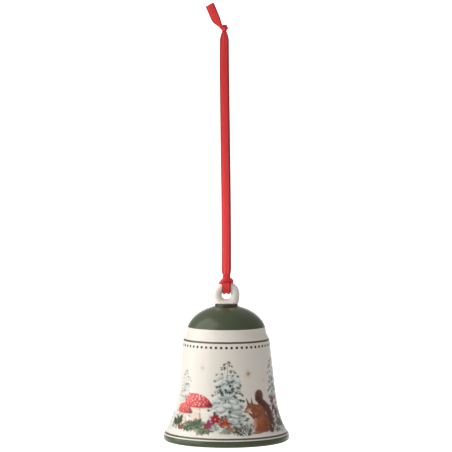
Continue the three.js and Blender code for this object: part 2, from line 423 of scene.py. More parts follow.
@dataclass
class Brush:
    """Lays soft-edged marks on a canvas. Lengths are in millimetres, turns in degrees.

    Args:
        canvas: what is painted.
        seed: start of the brush's own random draws.
        soft: width over which a mark's edge fades.
    """

    canvas: Canvas
    seed: int
    soft: float = 0.22
    rng: np.random.Generator = field(init=False)

    def __post_init__(self) -> None:
        """Seeds the draws."""
        self.rng = np.random.default_rng(self.seed)

    def dab(self, u: float, v: float, along: float, wide: float, turn: float, tint: Pigment,
            strength: float = 1.0, edge: float | None = None) -> None:
        """Lays one elliptical dab.

        Args:
            u, v: its middle.
            along, wide: half its length and half its width.
            turn: how its length is turned from the horizontal.
            tint, strength: its pigment, and how much of that covers what lies under it.
            edge: width over which it fades.
        """
        edge = edge or self.soft
        reach = max(along, wide) * (1 + edge / (2 * min(along, wide))) + 0.1
        rows, columns, du, dv = self.canvas.window(u, v, reach, reach)
        c, s = heading(turn)
        x, y = du * c + dv * s, dv * c - du * s
        size = np.sqrt((x / along) ** 2 + (y / wide) ** 2) + 1e-9
        away = (size - 1) * min(along, wide)
        self.canvas.lay(rows, columns, strength * (0.5 - away / edge), tint)

    def stroke(self, start: Place, end: Place, wide: float, tip: float, tint: Pigment,
               strength: float = 1.0, edge: float | None = None) -> None:
        """Lays one straight stroke that tapers from half a width `wide` to half a width `tip`."""
        edge = edge or self.soft
        (u0, v0), (u1, v1) = start, end
        au, av = u1 - u0, v1 - v0
        reach = max(wide, tip) + edge
        window = self.canvas.window((u0 + u1) / 2, (v0 + v1) / 2, abs(au) / 2 + reach, abs(av) / 2 + reach)
        rows, columns, du, dv = window
        length = max(au * au + av * av, 1e-9)
        share = np.clip(((du + au / 2) * au + (dv + av / 2) * av) / length, 0, 1)
        away = np.hypot(du + au / 2 - share * au, dv + av / 2 - share * av)
        away = away - (wide + (tip - wide) * share)
        self.canvas.lay(rows, columns, strength * (0.5 - away / edge), tint)

    def line(self, points: Sequence[Place], wide: float, tip: float, tint: Pigment,
             strength: float = 1.0) -> None:
        """Lays a bent stroke through several places, tapering from its first to its last."""
        count = len(points) - 1
        for i in range(count):
            a = wide + (tip - wide) * i / count
            b = wide + (tip - wide) * (i + 1) / count
            self.stroke(points[i], points[i + 1], a, b, tint, strength)

    def between(self, low: float, high: float) -> float:
        """A random number spread evenly between two."""
        return float(self.rng.uniform(low, high))

    def chance(self) -> float:
        """A random number spread evenly from 0 to 1."""
        return float(self.rng.random())

    def wobble(self, amount: float) -> float:
        """A random number spread evenly from minus to plus an amount."""
        return float(self.rng.uniform(-amount, amount))

    def pick(self, *tints: Tint) -> Rgb:
        """The colour of one of several pigments, at random."""
        return tints[int(self.rng.integers(len(tints)))].value


@dataclass
class Fir:
    """A fir tree whose drooping boughs carry snow.

    Args:
        brush: what it is painted with.
        ground: colour of the bare glaze, which mist thins it towards.
        u: place round the bell of its trunk.
        foot: height of its lowest boughs.
        top: height of its tip.
        spread: half width at the foot.
        snow: share of the boughs that lies under snow.
        faint: 0 for a near tree, towards 1 for one in the mist.
    """

    brush: Brush
    ground: Rgb
    u: float
    foot: float
    top: float
    spread: float
    snow: float
    faint: float

    def __post_init__(self) -> None:
        """Works out its height and the scale of its needles."""
        self.height = self.top - self.foot
        self.small = max(0.5, min(1.0, self.height / 30))

    def tone(self, tint: Pigment) -> Rgb:
        """A pigment thinned towards the ground by the mist."""
        return mixed(tint, self.ground, self.faint)

    def paint(self) -> None:
        """Paints a misty mass first, then the boughs from the foot up, the snow, and the bare tip last."""
        brush, height, small = self.brush, self.height, self.small
        self.mass()
        tiers = int(height * 0.8 / (2.1 * small))
        for tier in range(tiers, 0, -1):
            share = 0.2 + 0.8 * (tier - 0.5) / tiers
            half = self.spread * share**0.44 * brush.between(0.86, 1.12)
            count = max(3, int(2 * half / (2.3 * small)))
            order = np.abs(np.linspace(-1, 1, count)).argsort()[::-1]
            for k in order:
                lean = float(np.linspace(-1, 1, count)[k]) + brush.wobble(0.5 / count)
                self.bough(self.top - height * share + brush.wobble(0.6 * small), lean, half)
        self.heaps()
        for _ in range(int(height * self.spread / 15 / small**2)):
            share = 0.3 + 0.66 * brush.chance()
            u = self.u + self.spread * share**0.5 * (0.25 + brush.wobble(0.75))
            self.needles(u, self.top - height * share, small * 1.1, brush.wobble(50), 12)
        self.tip()

    def heaps(self) -> None:
        """Heaps of snow that lie across several boughs, each with a cold shade under it."""
        brush = self.brush
        for _ in range(int(self.snow * self.height * self.spread / 9 / self.small**2)):
            share = 0.32 + 0.62 * math.sqrt(brush.chance())
            u = self.u + self.spread * share * brush.wobble(0.62)
            v = self.top - self.height * share
            size = self.small * brush.between(1.2, 2.4)
            turn = -28 * (u - self.u) / self.spread + brush.wobble(12)
            shade = self.tone(mixed(Tint.SNOW_SHADE, Tint.PINE_GREY, brush.chance() * 0.7))
            brush.dab(u + 0.15 * size, v - 0.3 * size, size, size * 0.5, turn, shade, 0.85, 0.45)
            brush.dab(u, v, size, size * 0.48, turn, self.tone(Tint.FROST), 0.9, 0.4)
            light = self.tone(Tint.SNOW)
            brush.dab(u - 0.15 * size, v + 0.14 * size, size * 0.72, size * 0.3, turn, light, 0.95, 0.4)

    def mass(self) -> None:
        """Soft grey-blue tone behind the boughs."""
        brush, small = self.brush, self.small
        for _ in range(int(2.2 * self.height * self.spread / 8 / small**2)):
            share = 0.24 + 0.7 * math.sqrt(brush.chance())
            u = self.u + self.spread * share * brush.wobble(0.72)
            tint = self.tone(brush.pick(Tint.SNOW_SHADE, Tint.FROST, Tint.PINE_GREY))
            brush.dab(u, self.top - self.height * share, 1.5 * small, 1.0 * small, 0, tint, 0.55, 0.9 * small)

    def bough(self, v: float, lean: float, half: float) -> None:
        """One bough that leaves the trunk sideways and bends down, needles first and snow over them.

        Args:
            v: height where it leaves the trunk.
            lean: -1 for the longest bough to the left, 0 for one towards the viewer, 1 to the right.
            half: reach of the longest boughs of this tier.
        """
        brush, small = self.brush, self.small
        reach = half * abs(lean) * brush.between(0.85, 1.15)
        droop = (1.5 + 0.16 * half + 0.9 * (1 - abs(lean))) * small
        steps = max(3, int((reach + droop) / (0.85 * small)))
        dark_side = 0.25 if lean > 0.15 else 0.0
        side = 1 if lean > 0 else -1
        for k in range(steps):
            share = (k + 0.6) / steps
            last = k == steps - 1
            u = self.u + side * reach * (0.12 + 0.88 * share)
            y = v - droop * share**1.6 + brush.wobble(0.22 * small)
            self.needles(u, y, small, side * (20 + 50 * abs(lean)), 4 + last * 4)
            if brush.chance() > 1 - self.snow + dark_side + 0.35 * last:
                self.pad(u, y, small * brush.between(0.75, 1.55), -side * 24 * share)

    def needles(self, u: float, v: float, small: float, lean: float, count: int) -> None:
        """A tuft of needles that hangs down and out."""
        brush = self.brush
        for _ in range(count):
            spin = math.radians(-90 + lean + brush.wobble(58))
            far = small * brush.between(0.6, 1.25)
            tint = brush.pick(Tint.PINE_DARK, Tint.PINE_DARK, Tint.PINE, Tint.PINE_GREY)
            start = (u + brush.wobble(0.45 * small), v + brush.wobble(0.2))
            end = (u + far * math.cos(spin) * 1.1, v + far * math.sin(spin))
            brush.stroke(start, end, 0.14 * small + 0.06, 0.06, self.tone(tint), 0.85)

    def pad(self, u: float, v: float, size: float, turn: float) -> None:
        """A pad of snow with a shaded underside."""
        light = self.tone(mixed(Tint.SNOW, Tint.FROST, self.brush.chance() * 0.9))
        self.brush.dab(u, v + 0.12 * size, size * 0.95, size * 0.5, turn, self.tone(Tint.SNOW_SHADE), 0.9)
        self.brush.dab(u - 0.1 * size, v + 0.34 * size, size * 0.8, size * 0.38, turn, light, 0.95)

    def tip(self) -> None:
        """Loose tufts round the bare leader, dark against the sky."""
        brush, small = self.brush, self.small
        dark = self.tone(Tint.PINE_DARK)
        foot = self.top - self.height * 0.24
        brush.stroke((self.u, foot), (self.u + 0.25, self.top), 0.16 * small, 0.08, dark, 0.7)
        for k, side in enumerate((1, -1, 1, -1, -1, 1, 1, -1, 1)):
            far = small * (0.9 + 0.48 * k) * brush.between(0.75, 1.2)
            u, v = self.u + side * far, self.top - self.height * (0.02 + 0.026 * k)
            bend = (self.u + side * far * 0.6, v + 0.25 * small)
            places = [(self.u, v + 0.3 * small), bend, (u, v - 0.2 * small)]
            brush.line(places, 0.13 * small, 0.08, dark, 0.75)
            self.needles(u, v, small, side * 35, 8)
            self.needles(self.u + side * far * 0.5, v + 0.2, small * 0.9, side * 20, 6)
            if k > 1:
                self.pad(u - side * 0.2, v + 0.1, small * 0.62, -side * 15)


@dataclass
class Toadstool:
    """A red toadstool with pale flecks.

    Args:
        brush: what it is painted with.
        u, foot: place of the stalk's foot.
        height: of the whole toadstool.
        cap: half width of the cap.
        lean: how far the cap stands to the side of the foot.
        peak: place of the cap's highest point, from -1 at its left edge to 1 at its right.
    """

    brush: Brush
    u: float
    foot: float
    height: float
    cap: float
    lean: float
    peak: float = -0.25

    def paint(self) -> None:
        """Paints stalk, gills, cap and flecks."""
        brim = self.foot + self.height * 0.56
        self.stalk(brim)
        self.crown(brim)

    def stalk(self, brim: float) -> None:
        """A pale stalk that swells at its foot, with fine streaks and a torn skirt."""
        brush = self.brush
        x0, x1 = self.u, self.u + self.lean
        wide = self.cap * 0.26
        brush.stroke((x0, self.foot), (x1, brim), wide * 1.5, wide, Tint.STALK_SHADE)
        brush.stroke((x0 - wide * 0.3, self.foot), (x1 - wide * 0.15, brim), wide * 1.25, wide * 0.8,
                     Tint.STALK, edge=0.5)
        for k in range(9):
            x = (k / 8 - 0.5) * wide * 2
            tint = mixed(Tint.STALK_SHADE, Tint.STALK, brush.between(0, 0.7))
            start = (x0 + x * 1.3, self.foot + brush.wobble(0.6))
            end = (x1 + x * 0.8, brim - abs(brush.wobble(1.5)))
            brush.stroke(start, end, 0.07, 0.05, tint, 0.5)
        skirt = self.foot + (brim - self.foot) * 0.72
        x0 = self.u + self.lean * 0.8
        for k in range(9):
            x = (k / 8 - 0.5) * wide * 3.0
            brush.stroke((x0 + x * 0.55, skirt + 0.5), (x0 + x, skirt - 0.5 - brush.wobble(0.25)), 0.2, 0.14,
                         Tint.CREAM, 0.9)
            brush.stroke((x0 + x, skirt - 0.7), (x0 + x * 1.02, skirt - 0.85), 0.1, 0.07,
                         Tint.STALK_SHADE, 0.6)

    def crown(self, brim: float) -> None:
        """The cap: a low dome with a dark right edge, gills showing under its brim, and flecks."""
        brush, u = self.brush, self.u + self.lean
        high = self.foot + self.height - brim
        for k in range(-9, 10):
            x = k / 9.5 * self.cap
            low = brim - 0.13 * self.cap * math.sqrt(1 - (k / 9.5) ** 2)
            tint = mixed(Tint.STALK, Tint.STALK_SHADE, 0.25 + 0.5 * (k % 2))
            brush.stroke((u + x * 0.5, brim + 0.25), (u + x * 0.93, low), 0.26, 0.2, tint, 0.9)
        rows, columns, du, dv = brush.canvas.window(u, brim + high / 2, self.cap * 1.1, high)
        dv = dv + high / 2
        peak = self.peak * self.cap
        out = np.where(du < peak, (peak - du) / (self.cap + peak), (du - peak) / (self.cap - peak))
        sag = 0.1 * self.cap * (1 - np.clip(du / self.cap, -1, 1) ** 2)
        dome = high * np.sqrt(np.clip(1 - out**2.2, 0, 1))
        inside = np.minimum(dome - dv, dv + 0.32 - 0.35 * np.abs(du / self.cap) + sag * 0.3)
        side = np.minimum(inside, self.cap - np.abs(du)) / brush.soft
        glow = np.clip(0.62 - 0.42 * du / self.cap + 0.5 * (dv / high - 0.35), 0, 1)[..., None]
        grain = 0.10 * brush.rng.standard_normal(glow.shape)
        dark, mid, pale = (np.array(t.value) for t in (Tint.CAP_DARK, Tint.CAP, Tint.CAP_LIGHT))
        low = dark + (mid - dark) * np.clip(glow * 2 + grain, 0, 1)
        tone = low + (pale - low) * np.clip(glow * 2 - 1.15 + grain, 0, 0.8)
        brush.canvas.lay(rows, columns, side + 0.5, tone)
        shade = mixed(Tint.CAP_DARK, Tint.INK, 0.4)
        for x, y, size in ((0.9, 0.2, 0.12), (0.78, 0.1, 0.12), (0.95, 0.1, 0.08)):
            brush.dab(u + x * self.cap, brim + y * high, size * self.cap, 0.09 * self.cap, -30, shade,
                      0.75, 0.9)
        self.flecks(u, brim, high)

    def flecks(self, u: float, brim: float, high: float) -> None:
        """Cream flecks, close together, smaller and flatter towards the brim and the sides."""
        count = int(9 + self.cap * 3.9)
        golden = math.pi * (3 - math.sqrt(5))
        for k in range(count):
            far = math.sqrt((k + 0.6) / count) * 0.95
            x = far * math.cos(k * golden)
            y = 0.45 + 0.5 * far * math.sin(k * golden)
            out = (self.peak - x) / (1 + self.peak) if x < self.peak else (x - self.peak) / (1 - self.peak)
            if y > 0.95 * math.sqrt(max(0.0, 1 - out**2.2)) or y < 0.03:
                continue
            size = self.cap * 0.038 * (1.2 - 0.4 * abs(x)) * self.brush.between(0.6, 1.4)
            tint = mixed(Tint.CREAM, Tint.CAP_LIGHT, 0.12 + 0.3 * max(0, x))
            turn = self.brush.wobble(30)
            self.brush.dab(u + x * self.cap, brim + y * high, size * 1.2, size * 0.85, turn, tint, 0.95, 0.16)


@dataclass
class Undergrowth:
    """Leaves, berries and twigs at the foot of the frieze. A place (u, v) is where a plant is rooted."""

    brush: Brush

    def leaf(self, u: float, v: float, long: float, wide: float, turn: float, tint: Pigment,
             vein: Pigment | None = None) -> None:
        """One pointed leaf with a lit half and a vein, from its stalk end outwards."""
        c, s = heading(turn)
        dark = mixed(tint, Tint.INK, 0.28)
        for k in range(7):
            share = k / 6
            swell = wide * math.sin(math.pi * (0.12 + 0.84 * share)) ** 0.8
            x, y = u + c * long * share, v + s * long * share
            under = dark if k % 2 else mixed(dark, tint, 0.5)
            self.brush.dab(x, y, long / 7, swell + 0.05, turn, under, 0.95)
            self.brush.dab(x - s * swell * 0.35, y + c * swell * 0.35, long / 8, swell * 0.6, turn, tint, 0.8)
        tip = (u + c * long, v + s * long)
        self.brush.stroke((u, v), tip, 0.07, 0.05, vein or mixed(tint, Tint.CREAM, 0.5), 0.7, 0.14)

    def holly(self, u: float, v: float, long: float, turn: float, tint: Pigment) -> None:
        """A holly leaf: a leaf with spines along both sides."""
        c, s = heading(turn)
        for k in (0.25, 0.52, 0.78):
            for side in (-1, 1):
                x, y = u + c * long * k, v + s * long * k
                out = long * 0.36 * math.sin(math.pi * k) * side
                end = (x - s * out + c * 0.3, y + c * out + s * 0.3)
                self.brush.stroke((x, y), end, 0.32, 0.05, mixed(tint, Tint.INK, 0.2), 0.95)
        self.leaf(u, v, long, long * 0.24, turn, tint)

    def berry(self, u: float, v: float, size: float, tint: Tint = Tint.BERRY,
              dark: Tint = Tint.BERRY_DARK) -> None:
        """A round berry with a glint."""
        self.brush.dab(u, v, size, size, 0, dark)
        self.brush.dab(u - size * 0.15, v + size * 0.15, size * 0.72, size * 0.72, 0, tint, 0.95, 0.3)
        self.brush.dab(u - size * 0.3, v + size * 0.35, size * 0.24, size * 0.2, 0, Tint.CREAM, 0.95, 0.12)

    def spray(self, u: float, v: float, reach: float, count: int, low: float, high: float,
              tints: Sequence[Tint], thick: float = 0.28) -> None:
        """Leaves that fan out from one place between two angles."""
        for k in range(count):
            turn = low + (high - low) * (k + 0.5) / count + self.brush.wobble(9)
            long = reach * self.brush.between(0.7, 1.1)
            self.leaf(u + self.brush.wobble(0.5), v, long, long * thick, turn, self.brush.pick(*tints))

    def bloom(self, u: float, v: float, size: float, tint: Tint = Tint.BERRY,
              dark: Tint = Tint.BERRY_DARK) -> None:
        """A winter bloom: two rings of seven pointed petals round a gold heart."""
        vein = mixed(tint, dark, 0.6)
        for ring, share in ((0, 1.0), (1, 0.62)):
            for k in range(7):
                turn = 360 * (k + 0.5 * ring) / 7 + self.brush.wobble(8)
                shade = mixed(tint, dark, self.brush.between(0, 0.75) * (1 - 0.4 * ring))
                self.leaf(u, v, size * share, size * 0.26 * share, turn, shade, vein)
        for k in range(5):
            c, s = heading(72 * k)
            self.brush.dab(u + 0.28 * c, v + 0.28 * s, 0.15, 0.15, 0, Tint.GOLD_PALE)

    def sprig(self, u: float, v: float, long: float, turn: float, snow: float = 0.4) -> None:
        """A fir twig with needles on both sides and a little snow on it."""
        c, s = heading(turn)
        count = int(long * 3.2)
        for k in range(count):
            share = k / count
            x, y = u + c * long * share, v + s * long * share
            reach = long * 0.3 * (1 - 0.6 * share)
            for side in (-1, 1):
                out, up = heading(turn + side * (52 + self.brush.wobble(12)))
                shade = mixed(Tint.PINE, Tint.PINE_DARK, self.brush.chance())
                if self.brush.chance() < snow:
                    shade = Tint.SNOW
                self.brush.stroke((x, y), (x + reach * out, y + reach * up), 0.12, 0.05, shade, 0.9, 0.15)
        self.brush.stroke((u, v), (u + c * long, v + s * long), 0.13, 0.06, Tint.TWIG, 0.8)

    def fern(self, u: float, v: float, long: float, turn: float) -> None:
        """A dried frond, bent over to one side, with paired leaflets."""
        x, y, spin = u, v, turn
        steps = 9
        for k in range(steps):
            spin -= 5 if turn < 90 else -5
            c, s = heading(spin)
            x1, y1 = x + long / steps * c, y + long / steps * s
            self.brush.stroke((x, y), (x1, y1), 0.12, 0.1, mixed(Tint.FERN, Tint.INK, 0.35), 0.8)
            reach = long * 0.24 * math.sin(math.pi * (k + 1.5) / (steps + 2))
            for side in (-1, 1):
                out, up = heading(spin + side * 62)
                tint = mixed(Tint.FERN, Tint.GOLD_PALE, self.brush.chance() * 0.5)
                self.brush.stroke((x1, y1), (x1 + reach * out, y1 + reach * up), 0.17, 0.06, tint, 0.85)
            x, y = x1, y1

    def grass(self, u: float, v: float, reach: float, count: int, tints: Sequence[Tint]) -> None:
        """Thin blades that lean both ways from one place."""
        for _ in range(count):
            c, s = heading(90 + self.brush.wobble(48))
            long = reach * self.brush.between(0.5, 1.0)
            root = (u + self.brush.wobble(reach * 0.3), v + self.brush.wobble(0.3))
            end = (root[0] + long * c, root[1] + long * s)
            self.brush.stroke(root, end, 0.13, 0.05, self.brush.pick(*tints), 0.85, 0.16)

    def drift(self, u: float, v: float, wide: float, tall: float, tint: Tint, strength: float) -> None:
        """A soft patch of snow."""
        self.brush.dab(u, v, wide, tall, 0, tint, strength, tall)


@dataclass
class Squirrel:
    """A red squirrel that sits up and nibbles, its tail laid along its back and curled over its head.

    Args:
        brush: what it is painted with.
        u, foot: place of the tip of its hind foot.
        scale: 1 for an animal 19 mm high.
    """

    brush: Brush
    u: float
    foot: float
    scale: float = 1.0

    TAIL = ((12.0, 1.2, 1.4), (13.2, 3.5, 1.8), (13.7, 6.3, 1.9), (13.3, 9.0, 1.95), (12.1, 11.2, 2.0),
            (10.2, 12.9, 1.9), (8.4, 14.5, 1.8), (7.7, 16.2, 2.3), (7.9, 17.6, 2.4))

    def at(self, x: float, y: float) -> Place:
        """A place on the animal, in millimetres to the right of and above its foot."""
        return self.u + x * self.scale, self.foot + y * self.scale

    def patch(self, x: float, y: float, along: float, wide: float, turn: float, tint: Pigment,
              strength: float = 1.0, edge: float | None = None) -> None:
        """An elliptical patch of fur."""
        self.brush.dab(*self.at(x, y), along * self.scale, wide * self.scale, turn, tint, strength, edge)

    def limb(self, places: Sequence[Place], wide: float, tip: float, tint: Pigment,
             strength: float = 1.0) -> None:
        """A tapering limb through several places."""
        route = [self.at(*place) for place in places]
        self.brush.line(route, wide * self.scale, tip * self.scale, tint, strength)

    def fur(self, x: float, y: float, along: float, wide: float, turn: float, tints: Sequence[Tint],
            count: int, lie: float, long: float = 1.1) -> None:
        """Hairs scattered over an elliptical patch, all lying about one way."""
        c, s = heading(turn)
        for _ in range(count):
            spin = self.brush.between(0, 2 * math.pi)
            out = math.sqrt(self.brush.chance())
            a, b = along * out * math.cos(spin), wide * out * math.sin(spin)
            px, py = x + a * c - b * s, y + a * s + b * c
            across, up = heading(lie + self.brush.wobble(24))
            end = self.at(px + long * across, py + long * up)
            self.brush.stroke(self.at(px, py), end, 0.12, 0.05, self.brush.pick(*tints), 0.5, 0.18)

    def paint(self) -> None:
        """Paints the tail first, then body, head and paws."""
        self.tail()
        self.body()
        self.head()
        self.paws()

    def tail(self) -> None:
        """A full tail that rises along the back, narrows, and ends in a round brush over the head."""
        s = self.scale
        pieces = list(zip(self.TAIL, self.TAIL[1:]))
        for (x0, y0, w0), (x1, y1, w1) in pieces:
            self.brush.stroke(self.at(x0, y0), self.at(x1, y1), w0 * s, w1 * s, Tint.TAIL, 1.0, 0.55)
        for (x0, y0, w0), (x1, y1, w1) in pieces:
            self.brush.stroke(self.at(x0 - 0.3, y0), self.at(x1 - 0.2, y1 - 0.3), w0 * s * 0.4, w1 * s * 0.4,
                              Tint.TAIL_DARK, 0.55, 1.3)
            ax, ay = x1 - x0, y1 - y0
            long = math.hypot(ax, ay)
            for _ in range(40):
                share, side = self.brush.chance(), self.brush.wobble(1.08)
                wide = w0 + (w1 - w0) * share
                px = x0 + ax * share - ay / long * side * wide
                py = y0 + ay * share + ax / long * side * wide
                way = math.atan2(ay, ax) + side * 0.9
                tints = (Tint.TAIL, Tint.TAIL_DARK, Tint.FUR_DARK)
                if abs(side) > 0.6:
                    tints = (Tint.TAIL_LIGHT, Tint.TAIL)
                end = self.at(px + 0.95 * math.cos(way), py + 0.95 * math.sin(way))
                self.brush.stroke(self.at(px, py), end, 0.12, 0.05, self.brush.pick(*tints), 0.6, 0.18)
        self.fur(8.2, 18.2, 2.2, 1.4, 0, (Tint.TAIL_LIGHT, Tint.TAIL, Tint.TAIL), 55, 150, 0.9)

    def body(self) -> None:
        """Haunch, back, shoulder, chest and belly."""
        fur, light, dark = Tint.FUR, Tint.FUR_LIGHT, Tint.FUR_DARK
        coat = (Tint.FUR, Tint.FUR, Tint.FUR_LIGHT, Tint.FUR_DARK)
        self.patch(8.3, 4.9, 4.1, 4.5, 0, dark, 1.0, 0.35)
        self.patch(6.9, 8.9, 4.4, 3.6, 70, dark, 1.0, 0.35)
        self.patch(8.1, 5.0, 3.8, 4.2, 0, fur, 1.0, 0.9)
        self.patch(6.7, 8.9, 4.2, 3.3, 70, fur, 1.0, 0.9)
        self.patch(4.9, 11.3, 2.5, 2.1, 30, fur, 1.0, 0.6)
        self.patch(4.3, 5.6, 3.4, 0.95, 84, mixed(Tint.BELLY, light, 0.55), 0.9, 0.9)
        self.patch(10.2, 5.0, 3.3, 1.2, 80, dark, 0.6, 1.8)
        self.patch(7.4, 6.0, 2.4, 1.6, 30, light, 0.5, 2.0)
        self.patch(6.3, 10.6, 1.9, 0.9, 60, light, 0.4, 1.4)
        self.fur(8.1, 5.0, 3.5, 3.9, 0, coat, 140, -75)
        self.fur(6.5, 9.6, 3.5, 2.6, 68, coat, 110, -110)
        self.fur(4.3, 5.8, 3.0, 0.7, 84, (Tint.BELLY, Tint.FUR_LIGHT, Tint.FUR_LIGHT), 36, -95, 0.8)
        self.patch(6.0, 1.9, 2.9, 1.3, 18, dark, 0.6, 0.9)
        self.patch(6.0, 2.3, 2.6, 1.2, 18, fur, 1.0, 0.8)
        self.patch(4.6, 0.45, 2.6, 0.5, 3, dark, 1.0, 0.3)
        self.patch(4.3, 0.6, 2.1, 0.3, 3, light, 0.8, 0.3)

    def head(self) -> None:
        """Head turned to the left, with tufted ears, a dark eye and a pale cheek."""
        fur, light, dark = Tint.FUR, Tint.FUR_LIGHT, Tint.FUR_DARK
        for x, tip in ((3.6, 3.5), (1.9, 1.0)):
            self.limb(((x, 13.0), (tip, 15.8)), 0.75, 0.22, dark)
            self.limb(((x - 0.1, 13.2), (tip + 0.15, 15.0)), 0.35, 0.12, light, 0.6)
            end = self.at(tip, 15.8)
            for k in range(4):
                self.brush.stroke(end, (end[0] + (k - 1.5) * 0.2, end[1] + 0.8), 0.09, 0.04, dark, 0.8, 0.14)
        self.patch(2.9, 12.2, 2.2, 1.85, 12, dark, 1.0, 0.3)
        self.patch(3.0, 12.25, 2.0, 1.65, 12, fur, 1.0, 0.7)
        self.patch(1.1, 11.3, 1.15, 0.85, 24, fur, 1.0, 0.4)
        self.patch(1.7, 10.9, 1.3, 0.62, 12, Tint.BELLY, 0.85, 0.6)
        self.fur(3.2, 12.5, 1.7, 1.2, 12, (Tint.FUR, Tint.FUR_LIGHT, Tint.FUR_DARK), 55, -20, 0.7)
        self.patch(0.1, 11.35, 0.24, 0.2, 0, Tint.INK)
        self.patch(2.3, 12.6, 0.55, 0.52, 0, light, 0.8, 0.3)
        self.patch(2.3, 12.6, 0.38, 0.38, 0, Tint.INK)
        self.patch(2.2, 12.75, 0.12, 0.12, 0, Tint.SNOW, 1.0, 0.1)

    def paws(self) -> None:
        """Forelegs held up to the mouth round a cone scale."""
        fur, dark = Tint.FUR, Tint.FUR_DARK
        self.limb(((6.4, 9.4), (3.9, 7.7), (2.2, 8.9)), 1.35, 0.55, mixed(dark, fur, 0.35), 0.9)
        self.limb(((6.4, 9.6), (4.0, 8.0), (2.2, 9.1)), 1.1, 0.42, fur, 0.9)
        self.fur(4.9, 8.7, 1.7, 0.6, 30, (Tint.FUR_LIGHT, Tint.FUR_DARK, Tint.FUR), 30, -140, 0.7)
        self.patch(1.9, 9.35, 0.5, 0.4, 40, dark, 0.8)
        self.patch(1.2, 9.9, 0.6, 0.42, 40, Tint.RUST)
        self.patch(1.1, 10.0, 0.24, 0.16, 40, Tint.GOLD_PALE, 0.8, 0.15)


